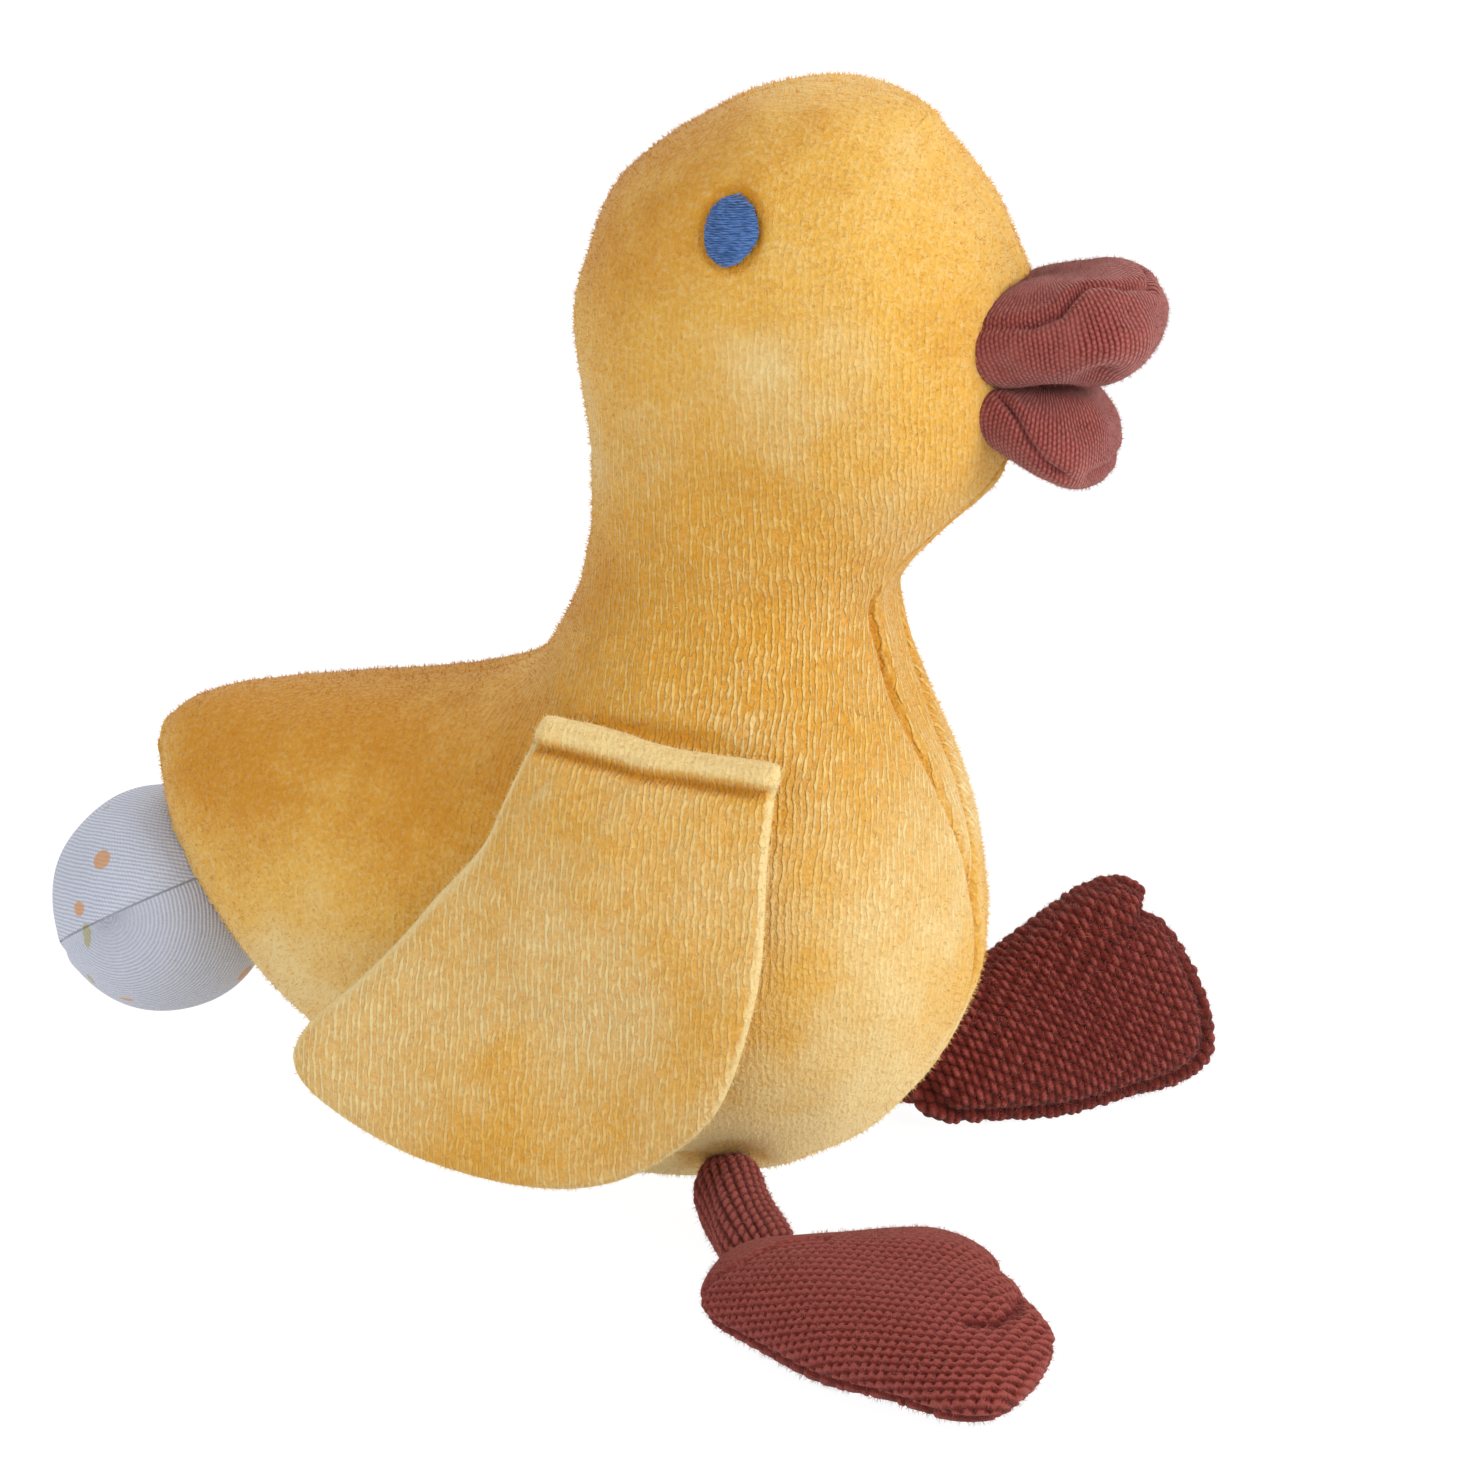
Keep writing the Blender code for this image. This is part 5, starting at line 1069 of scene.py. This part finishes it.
# Each lobe: its length, half width, half height, rise and tilt, then its seam's route and its dimples'
# places, widths and depths in mm, and the seed of its lumps
LOBES = {
    "beak_upper": (
        (0.0295, 0.0180, 0.0100, 0.0063, 9.0),
        ((1.0, 15.5, 3.6), (10.1, 16.7, 4.0), (15.1, 15.4, 5.6), (17.1, 12.5, 7.5), (18.6, 10.1, 8.4))
        + ((24.2, 7.6, 7.7), (27.6, 0.0, 5.2)),
        (((26.4, 11.1, 3.6), 3.0, 1.1), ((19.5, 12.0, -8.0), 4.2, 2.8), ((4.0, 17.0, -3.0), 2.4, 1.0)),
        31,
    ),
    "beak_lower": (
        (0.0205, 0.0165, 0.0090, -0.0100, -9.0),
        ((2.0, 14.6, 5.4), (4.9, 15.7, 3.1), (9.0, 16.4, -0.3), (15.1, 14.4, -2.7), (18.8, 8.0, -3.2))
        + ((20.0, 0.0, -3.2),),
        (((17.0, 10.0, 6.0), 3.5, 1.0),),
        37,
    ),
}


def lower_root(own):
    """The rise of the lower lobe, slim and drawn up where it leaves the head, and the swell of its tip."""
    share = np.clip(own[:, 0] / 0.018, 0, 1)
    root = 1 - share**2 * (3 - 2 * share)
    outer = np.clip(np.abs(own[:, 1]) / 0.0165, 0, 1) ** 2
    rise = root * (0.0035 * outer + 0.24 * (0.0090 - own[:, 2]))
    return rise, 0.0016 * bell(np.hypot(own[:, 0] - 0.0188, own[:, 2] + 0.0076), 0.0036)


def make_beak(name):
    (length, half_width, half_height, rise, tilt_deg), route, dimples, seed = LOBES[name]
    base_x, base_z = head_at(BEAK_BASE_SHARES)
    cos, sin = math.cos(math.radians(tilt_deg)), math.sin(math.radians(tilt_deg))
    turn = np.array([[cos, 0.0, -sin], [0.0, 1.0, 0.0], [sin, 0.0, cos]])
    origin = np.array([base_x, 0.0, base_z + rise])
    half = catmull(BEAK_OUTLINE_SHARES, 8) * np.array([length, half_width])
    outline = np.vstack([half, (half * np.array([1.0, -1.0]))[::-1]])
    centre = np.array([length / 2, 0.0])
    form = puffed(name + "_form", outline, centre, half_height, BEAK_POWER, lambda p: p @ turn.T + origin)
    lobe = evened(form, name + "_jersey", VOXEL, 12)
    own = (points_of(lobe) - origin) @ turn
    depth = -0.0006 * lumps(own, 0.008, seed)
    lift = np.zeros(len(own))
    if name == "beak_lower":
        lift, swell = lower_root(own)
        depth -= swell
    seam = np.zeros(len(own))
    for side in (-1, 1):
        away = route_distance(own, route, side)
        seam = np.maximum(seam, bell(away, 0.0007))
        depth -= 0.0003 * bell(away - 0.0022, 0.0012)
        for spot, width, pull in dimples:
            place = np.array(spot) * MM * np.array([1, side, 1])
            depth += pull * MM * bell(np.linalg.norm(own - place, axis=1), width * MM)
    depth += 0.0014 * seam
    own = own - normals_of(lobe) @ turn * depth[:, None]
    own[:, 2] += lift
    points = own @ turn.T + origin
    set_points(lobe, points)
    angle = np.arctan2(own[:, 1], own[:, 0] - length * 0.3)
    set_map(lobe, np.column_stack([angle * half_width * 1.05, own[:, 2]]))
    set_field(lobe, "rest", points)
    set_field(lobe, "nap", np.ones(len(points)))
    dress_fuzzy(lobe, name, JERSEY, "brick_jersey", "head", 0.75, **BEAK_STRANDS)


# Eyes


def make_eye(name, side, tree):
    """A satin-stitched oval: rows of thread laid side by side over the head."""
    centre_x, centre_z = head_at(EYE_SHARES)
    steps, points, edges = 12, [], []
    random = np.random.default_rng(77)
    for row in range(EYE_ROWS):
        level = (row + 0.5) / EYE_ROWS * 2 - 1
        reach = math.sqrt(1 - level**2) * EYE_LENGTH / 2 * random.uniform(0.94, 1.04)
        lean = -0.0006 * level - 0.0006 * bell(level + 0.75, 0.35)
        first = len(points)
        for step in range(steps + 1):
            share = step / steps * 2 - 1
            x = centre_x + share * reach + lean
            z = centre_z + level * EYE_HEIGHT / 2 + 0.0004 * share + random.uniform(-1, 1) * 0.00003
            hit = tree.ray_cast(Vector((x, side * 1.0, z)), Vector((0, -side, 0)))[0]
            lift = 0.0002 + 0.0006 * math.sqrt(max(1 - share**4, 0.0))
            points.append((x, side * ((abs(hit.y) if hit else 0.0) + lift), z))
        edges += [(first + step, first + step + 1) for step in range(steps)]
    eye = threads_along(name + "_threads", points, edges, SATIN, EYE_THREAD_RADIUS, 8)
    dress(eye, SATIN, "blue_satin", "head")
    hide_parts(name)


# Legs and feet


def loop_scales(a, c):
    """Loops like fish scales, each row set over by half a loop. Each rises to a round edge over a hole."""
    row = np.floor(c)
    height = np.zeros_like(a)
    for k in (row, row - 1):
        s = a + 0.5 * (k % 2)
        f = s - np.floor(s) - 0.5
        b = (c - k) / 1.45 + 1.1 * f * f
        rise = np.clip(b / 0.75, 0, 1) ** 0.8 * np.clip((1.0 - b) / 0.14, 0, 1)
        height = np.maximum(height, rise * np.sqrt(np.maximum(1 - 1.6 * f * f, 0)))
    return height


def stitch_ovals(a, c, slant):
    """Columns of long slanted stitches, each column set over by half a stitch."""
    column = np.floor(a)
    fa = a - column - 0.5
    s = c + 0.5 * (column % 2) + slant * fa
    fc = s - np.floor(s) - 0.5
    return np.sqrt(np.maximum(1 - (2 * fa) ** 2 * 0.95, 0)) * np.sqrt(np.maximum(1 - (2 * fc) ** 2 * 0.9, 0))


# For each foot: its splay, roll and pitch in degrees, the skew of its outer toe, and the creases at the toes'
# notch, in mm in the foot's own place
FEET = {
    "right": (
        (-4.0, 8.0, -1.0),
        -0.28,
        ((56.0, 8.0, 4.5), (57.5, -1.0, 6.8), (55.5, -6.5, 7.6), (51.0, -9.0, 7.8)),
    ),
    "left": ((42.0, 62.0, 13.0), 0.0, ((59.0, 13.5, 2.0), (52.0, 10.0, 7.2), (40.0, 8.0, 8.6))),
}


def make_foot(tag):
    name = "foot_" + tag
    side = -1 if tag == "right" else 1
    turns_deg, skew, gather = FEET[tag]
    splay, roll, pitch = (math.radians(turn) for turn in turns_deg)
    turn = Matrix.Rotation(splay, 3, "Z") @ Matrix.Rotation(-pitch, 3, "Y") @ Matrix.Rotation(roll, 3, "X")
    turn = np.array(turn)
    origin = joint_at("ankle_" + tag)
    ankle = np.array([ANKLE_SHARES[0] * FOOT_LENGTH, -side * ANKLE_SHARES[1] * FOOT_HALF_WIDTH, 0.0])
    outline = catmull(FOOT_OUTLINE_SHARES, 8, closed=True)
    outline[:, 0] += skew * outline[:, 0] * np.maximum(outline[:, 1], 0.0)
    outline *= np.array([FOOT_LENGTH, FOOT_HALF_WIDTH])
    centre = np.array([FOOT_LENGTH / 2, 0.0])

    def place(spots):
        return (spots - ankle) @ turn.T + origin

    form = puffed(name + "_form", outline, centre, FOOT_HALF_HEIGHT, FOOT_POWER, place)
    foot = evened(form, name + "_knit", VOXEL, 10)
    points, normals = points_of(foot), normals_of(foot)
    own = (points - origin) @ turn + ankle
    x, y, z = own.T
    sway = 0.0010 * lumps(own, 0.020, 41)
    crease = route_distance(own, gather, 1)
    depth = (0.0013 if tag == "right" else 0.0009) * bell(crease, 0.0014) - 0.0006 * lumps(own, 0.014, 43)
    if tag == "right":
        # Loops grow towards the toes, and stop at a seam that leaves a smooth strip over the heel.
        line = 0.15 * y
        size = 0.0013 + 0.0011 * np.clip(x / FOOT_LENGTH, 0, 1)
        across = FOOT_LENGTH / 0.0011 * np.log(size / 0.0013)
        # Places across the foot run on down its sides.
        down = y + np.sign(y) * np.maximum(FOOT_HALF_HEIGHT - 0.0005 - z, 0)
        loops = loop_scales(across + (0.45 * down + sway) / 0.0024, (down - 0.25 * x + sway) / 0.0019)
        edge = np.interp(x / MM, (0, 3.5, 7.8, 13.1, 25, 45), (-9, -5.6, -2.6, 4.5, 9.5, 13.5)) * MM
        strength = 0.85 * np.clip((edge - y) / 0.003, 0, 1) * np.clip(0.55 + 0.6 * x / FOOT_LENGTH, 0, 1)
        depth += 0.0011 * bell(y - edge, 0.0009) * (x < 0.020) * (z > 0)
    else:
        line = 0.0042
        loops = stitch_ovals((x + sway) / 0.00145, (y + sway) / 0.0027, 0.35)
        loops = loops * (1 + 0.25 * lumps(own, 0.002, 44))
        strength = np.full(len(own), 0.9)
    seam = bell(z - line, 0.0009)
    seam = seam * np.interp(y * side, (-0.010, 0.010), (1.0, 0.35)) if tag == "left" else seam
    depth += 0.0010 * seam - 0.0003 * bell(z - line - 0.0025, 0.0015)
    lift = 0.00105 * strength * (loops - 0.6) * (1 - 0.7 * seam)
    points = points + normals * (lift - depth)[:, None]
    points[:, 2] = np.maximum(points[:, 2], 0.0)
    set_points(foot, points)
    set_map(foot, own[:, :2])
    set_field(foot, "rest", points)
    # Painted shading for the knit: painted shade in the holes, the seam and the toes' creases, a painted highlight
    # on the loops, and the far left foot darker all over as painted shade.
    loop_shading = loops * (0.25 + 0.75 * strength) + 0.55 * (1 - strength)
    loop_shading = np.clip(loop_shading, 0, 1) * (1 - 0.5 * seam) * (1 - 0.4 * bell(crease, 0.0010))
    set_field(foot, "loops", 1.1 * loop_shading - 0.08 if tag == "right" else 0.95 * loop_shading - 0.16)
    off_leg, _ = segment_distance(points, joint_at("hip_" + tag), origin)
    set_field(foot, "nap", (points[:, 2] > 0.001) * (off_leg > 0.010) * 1.0)
    dress_fuzzy(foot, name, KNIT, "brick_knit", name, 0.7, **FUZZ_STRANDS, Seed=51)


def make_leg(tag, bend):
    """A stuffed knitted tube from inside the belly to inside the foot."""
    name = "leg_" + tag
    hip = joint_at("hip_" + tag)
    run = joint_at("ankle_" + tag) - hip
    length = np.linalg.norm(run)
    rings, each = 140, 110
    across = unit(np.array([-run[1], run[0], 0.0])) * math.copysign(1.0, hip[1])
    share = np.linspace(0, 1, rings)
    path = hip + run * share[:, None] + across * (bend * np.sin(math.pi * share))[:, None]
    end_radius = np.where(share < 0.5, *LEG_END_RADII)
    swell = np.minimum(np.minimum(share, 1 - share) * length / 0.013, 1.0)
    radius = end_radius + (LEG_RADIUS - end_radius) * np.sin(swell * math.pi / 2)
    ahead = unit(np.gradient(path, axis=0))
    side = unit(np.cross(ahead, np.array([0.0, 0.0, 1.0])))
    top = np.cross(side, ahead)
    turn = math.tau * np.arange(each) / each
    ring = np.cos(turn)[None, :, None] * side[:, None] + np.sin(turn)[None, :, None] * top[:, None]
    along = share[:, None] * length
    columns = (turn * LEG_RADIUS)[None, :] / (math.tau * LEG_RADIUS / LEG_LOOPS_ROUND)
    loops = stitch_ovals(columns, along / LEG_LOOP_LENGTH + 0 * columns, 0.7)
    twist = 0.0004 * np.sin(turn * 3 + along / 0.006)
    grid = path[:, None] + ring * (radius[:, None] + 0.0010 * (loops - 0.6) + twist)[..., None]
    leg = tube(name + "_knit", capped(grid, 0.8))
    points = points_of(leg)
    points[:, 2] = np.maximum(points[:, 2], 0.0)
    set_points(leg, points)
    middle = rings // 2
    angle = np.arctan2((points - hip) @ top[middle], (points - hip) @ side[middle])
    set_map(leg, np.column_stack([angle * LEG_RADIUS, (points - hip) @ run / length]))
    set_field(leg, "rest", points)
    # The loops set the knit's painted shade in the holes and painted highlight on the loops.
    field = np.full(len(points), 0.5)
    field[CAP_RINGS * each : (CAP_RINGS + rings) * each] = loops.ravel()
    set_field(leg, "loops", field)
    set_field(leg, "nap", np.ones(len(points)))
    dress_fuzzy(leg, name, KNIT, "brick_knit", name, 0.6, **FUZZ_STRANDS, Seed=61)


# Pull ball and cord


def make_ball():
    """The jersey cover in two panels, whose seam runs round it."""
    rings, each = 150, 220
    polar = np.pi * (np.arange(rings) + 1) / (rings + 1)
    turn = math.tau * np.arange(each) / each
    # The seam lies square to the ball's own pole, so that it slants.
    pole = unit(np.array([-0.486, 0.2125, 0.847]))
    side = unit(np.cross(pole, np.array([0.0, 1.0, 0.0])))
    other = np.cross(pole, side)
    around = np.cos(turn)[:, None] * side + np.sin(turn)[:, None] * other
    level = math.pi / 2 + 0.10 * np.sin(2 * turn)
    way = np.cos(polar)[:, None, None] * pole + np.sin(polar)[:, None, None] * around[None]
    off = (polar[:, None] - level[None, :]) * BALL_RADIUS
    depth = 0.00018 * bell(off, 0.0008) - 0.0002 * bell(np.abs(off) - 0.0025, 0.0015)
    depth = depth - 0.0003 * lumps(way * BALL_RADIUS, 0.012, 71)
    ball = tube("pull_ball_jersey", BALL_CENTRE + way * (BALL_RADIUS - depth)[..., None])
    points = points_of(ball)
    out = unit(points - BALL_CENTRE)
    top = out @ pole > 0
    # Even wales in each panel, along their own ways
    upper = np.arcsin(np.clip(out @ unit(np.array([0.039, 0.365, 0.921])), -1, 1))
    lower = np.arccos(np.clip(out @ other, -1, 1))
    along = np.where(top, out @ side, np.arctan2(out @ pole, out @ side))
    set_map(ball, np.column_stack([np.where(top, upper, lower), along]) * BALL_RADIUS)
    set_field(ball, "rest", points)
    dress(ball, make_white_jersey(), "white_jersey", "pull_ball")
    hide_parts("pull_ball_cover")


def make_cord():
    """The braided pull cord, wound on its drum and then straight to the ball."""
    way = np.array(JOINTS["cord_pull"]["axis"])
    main = joint_at("drum_turn")
    side = np.array([-way[2], 0.0, way[0]])
    start = main + side * WOUND_RADIUS
    end = BALL_CENTRE + way * 0.0150
    wound = 64
    turns = CORD_TURNS * (1 - np.arange(wound) / wound)
    cos, sin = np.cos(math.tau * turns)[:, None], np.sin(math.tau * turns)[:, None]
    spin = side * cos - np.cross(np.array([0.0, 1.0, 0.0]), side) * sin
    winding = main + spin * WOUND_RADIUS + np.array([0.0, -CORD_TURN_PITCH, 0.0]) * turns[:, None]
    path = np.vstack([winding, start + (end - start) * np.linspace(0, 1, 120)[:, None]])
    ahead = unit(np.gradient(path, axis=0))
    left = unit(np.cross(ahead, np.array([0.0, 1.0, 0.05])))
    top = np.cross(ahead, left)
    gone = np.concatenate([[0], np.cumsum(np.linalg.norm(np.diff(path, axis=0), axis=1))])
    strands, edges = [], []
    for strand in range(CORD_STRANDS):
        phase = gone / CORD_LAY * math.tau + math.tau * strand / CORD_STRANDS
        off = np.cos(phase)[:, None] * left + np.sin(phase)[:, None] * top
        strands.append(path + off * CORD_STRAND_OFFSET)
        first = strand * len(path)
        edges += [(first + k, first + k + 1) for k in range(len(path) - 1)]
    cord = threads_along("pull_cord_strands", np.vstack(strands), edges, COTTON, CORD_STRAND_RADIUS, 6)
    dress(cord, COTTON, "white_cord")
    start, end = start + way * 0.03, BALL_CENTRE - way * (BALL_RADIUS - 0.001)
    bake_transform(cord)
    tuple(start)
    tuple(end)
    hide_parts("pull_cord")


# Movement


HARD_FINISHES = {
    "case_plastic": (((0.76, 0.76, 0.74), (0.84, 0.84, 0.82)), 0.45, 0.0, 0.0010, 1.0),
    "spring_steel": (((0.50, 0.51, 0.53), (0.66, 0.67, 0.69)), 0.32, 1.0, 0.0004, 12.0),
    "cast_zinc": (((0.46, 0.46, 0.47), (0.60, 0.60, 0.61)), 0.48, 1.0, 0.0008, 1.0),
    "brass": (((0.62, 0.44, 0.16), (0.78, 0.60, 0.28)), 0.32, 1.0, 0.0005, 10.0),
    "core_wood": (((0.52, 0.34, 0.18), (0.74, 0.54, 0.33)), 0.70, 0.0, 0.0012, 14.0),
    "white_cord": (((0.66, 0.64, 0.58), (0.88, 0.87, 0.82)), 0.90, 0.0, 0.0005, 1.0),
}


def finish_movement():
    """Every solid that still shows takes a finish by its slot."""
    finishes = {slot: make_hard(slot + "_finish", *values) for slot, values in HARD_FINISHES.items()}
    for row in frame["record"]["subparts"]:
        node = NODES[row["node"]]
        if not node.hide_render and row["material_slot"] in finishes:
            node.data.materials.clear()
            node.data.materials.append(finishes[row["material_slot"]])


# Stage


def make_camera():
    azimuth, elevation = math.radians(CAMERA_AZIMUTH_DEG), math.radians(CAMERA_ELEVATION_DEG)
    level = math.cos(elevation)
    back = Vector((math.sin(azimuth) * level, -math.cos(azimuth) * level, math.sin(elevation)))
    data = bpy.data.cameras.new("camera")
    data.angle = 2 * math.atan(CAMERA_HALF_VIEW)
    camera = linked("camera", data)
    camera.location = Vector(CAMERA_TARGET) + back * CAMERA_DISTANCE
    camera.rotation_mode = "QUATERNION"
    camera.rotation_quaternion = (-back).to_track_quat("-Z", "Y")
    bpy.context.scene.camera = camera


def add_lamp(name, place, size, power, colour):
    data = bpy.data.lights.new(name, "AREA")
    data.shape = "SQUARE"
    data.size = size
    data.energy = power
    data.color = colour
    lamp = linked(name, data)
    lamp.location = place
    lamp.rotation_mode = "QUATERNION"
    lamp.rotation_quaternion = (Vector(place) - Vector((0, 0, 0.08))).to_track_quat("Z", "Y")


def by_ray(tree, to_others, to_camera):
    """One value for the camera's rays and another for all others."""
    seen = tree_node(tree, "ShaderNodeLightPath").outputs["Is Camera Ray"]
    return tree_node(tree, "ShaderNodeMapRange", {0: seen, 3: to_others, 4: to_camera}).outputs[0]


def make_stage():
    corners = [(x, y, FLOOR_HEIGHT) for x, y in ((-3, -3), (3, -3), (3, 3), (-3, 3))]
    floor = add_mesh("floor", corners, [(0, 1, 2, 3)])
    pale = Finish("floor", Base_Color=(0.85, 0.85, 0.85), Roughness=0.9)
    glow = pale.node("Emission", {"Strength": by_ray(pale.tree, 1.4, 1.12)}).outputs[0]
    inputs = {0: by_ray(pale.tree, 0.25, 0.86), 1: pale.shader.outputs[0], 2: glow}
    mixed = pale.node("MixShader", inputs).outputs[0]
    put(pale.tree, pale.tree.nodes["Material Output"].inputs[0], mixed)
    floor.data.materials.append(pale.material)
    world = bpy.data.worlds.new("world")
    world.use_nodes = True
    bpy.context.scene.world = world
    sky = world.node_tree.nodes["Background"]
    put(world.node_tree, sky.inputs[0], (1.0, 1.0, 1.0))
    put(world.node_tree, sky.inputs[1], by_ray(world.node_tree, 0.60, 1.0))
    add_lamp("key", (0.85, -0.22, 0.52), 0.5, 6.5, (1.0, 0.98, 0.95))
    add_lamp("fill", (-0.5, -0.8, 0.45), 0.6, 2.3, (1.0, 1.0, 1.0))
    add_lamp("rim", (-0.1, 0.6, 0.7), 0.5, 2.5, (1.0, 1.0, 1.0))


def main():
    make_camera()
    make_skin()
    body, head = solid_tree("body"), solid_tree("head")
    make_wing("wing_right", -1, body)
    make_wing("wing_left", 1, body)
    make_beak("beak_upper")
    make_beak("beak_lower")
    make_eye("eye_right", -1, head)
    make_eye("eye_left", 1, head)
    make_foot("right")
    make_foot("left")
    make_leg("right", 0.001)
    make_leg("left", 0.003)
    make_ball()
    make_cord()
    finish_movement()
    make_stage()


main()
bpy.context.scene.view_settings.view_transform = "Standard"
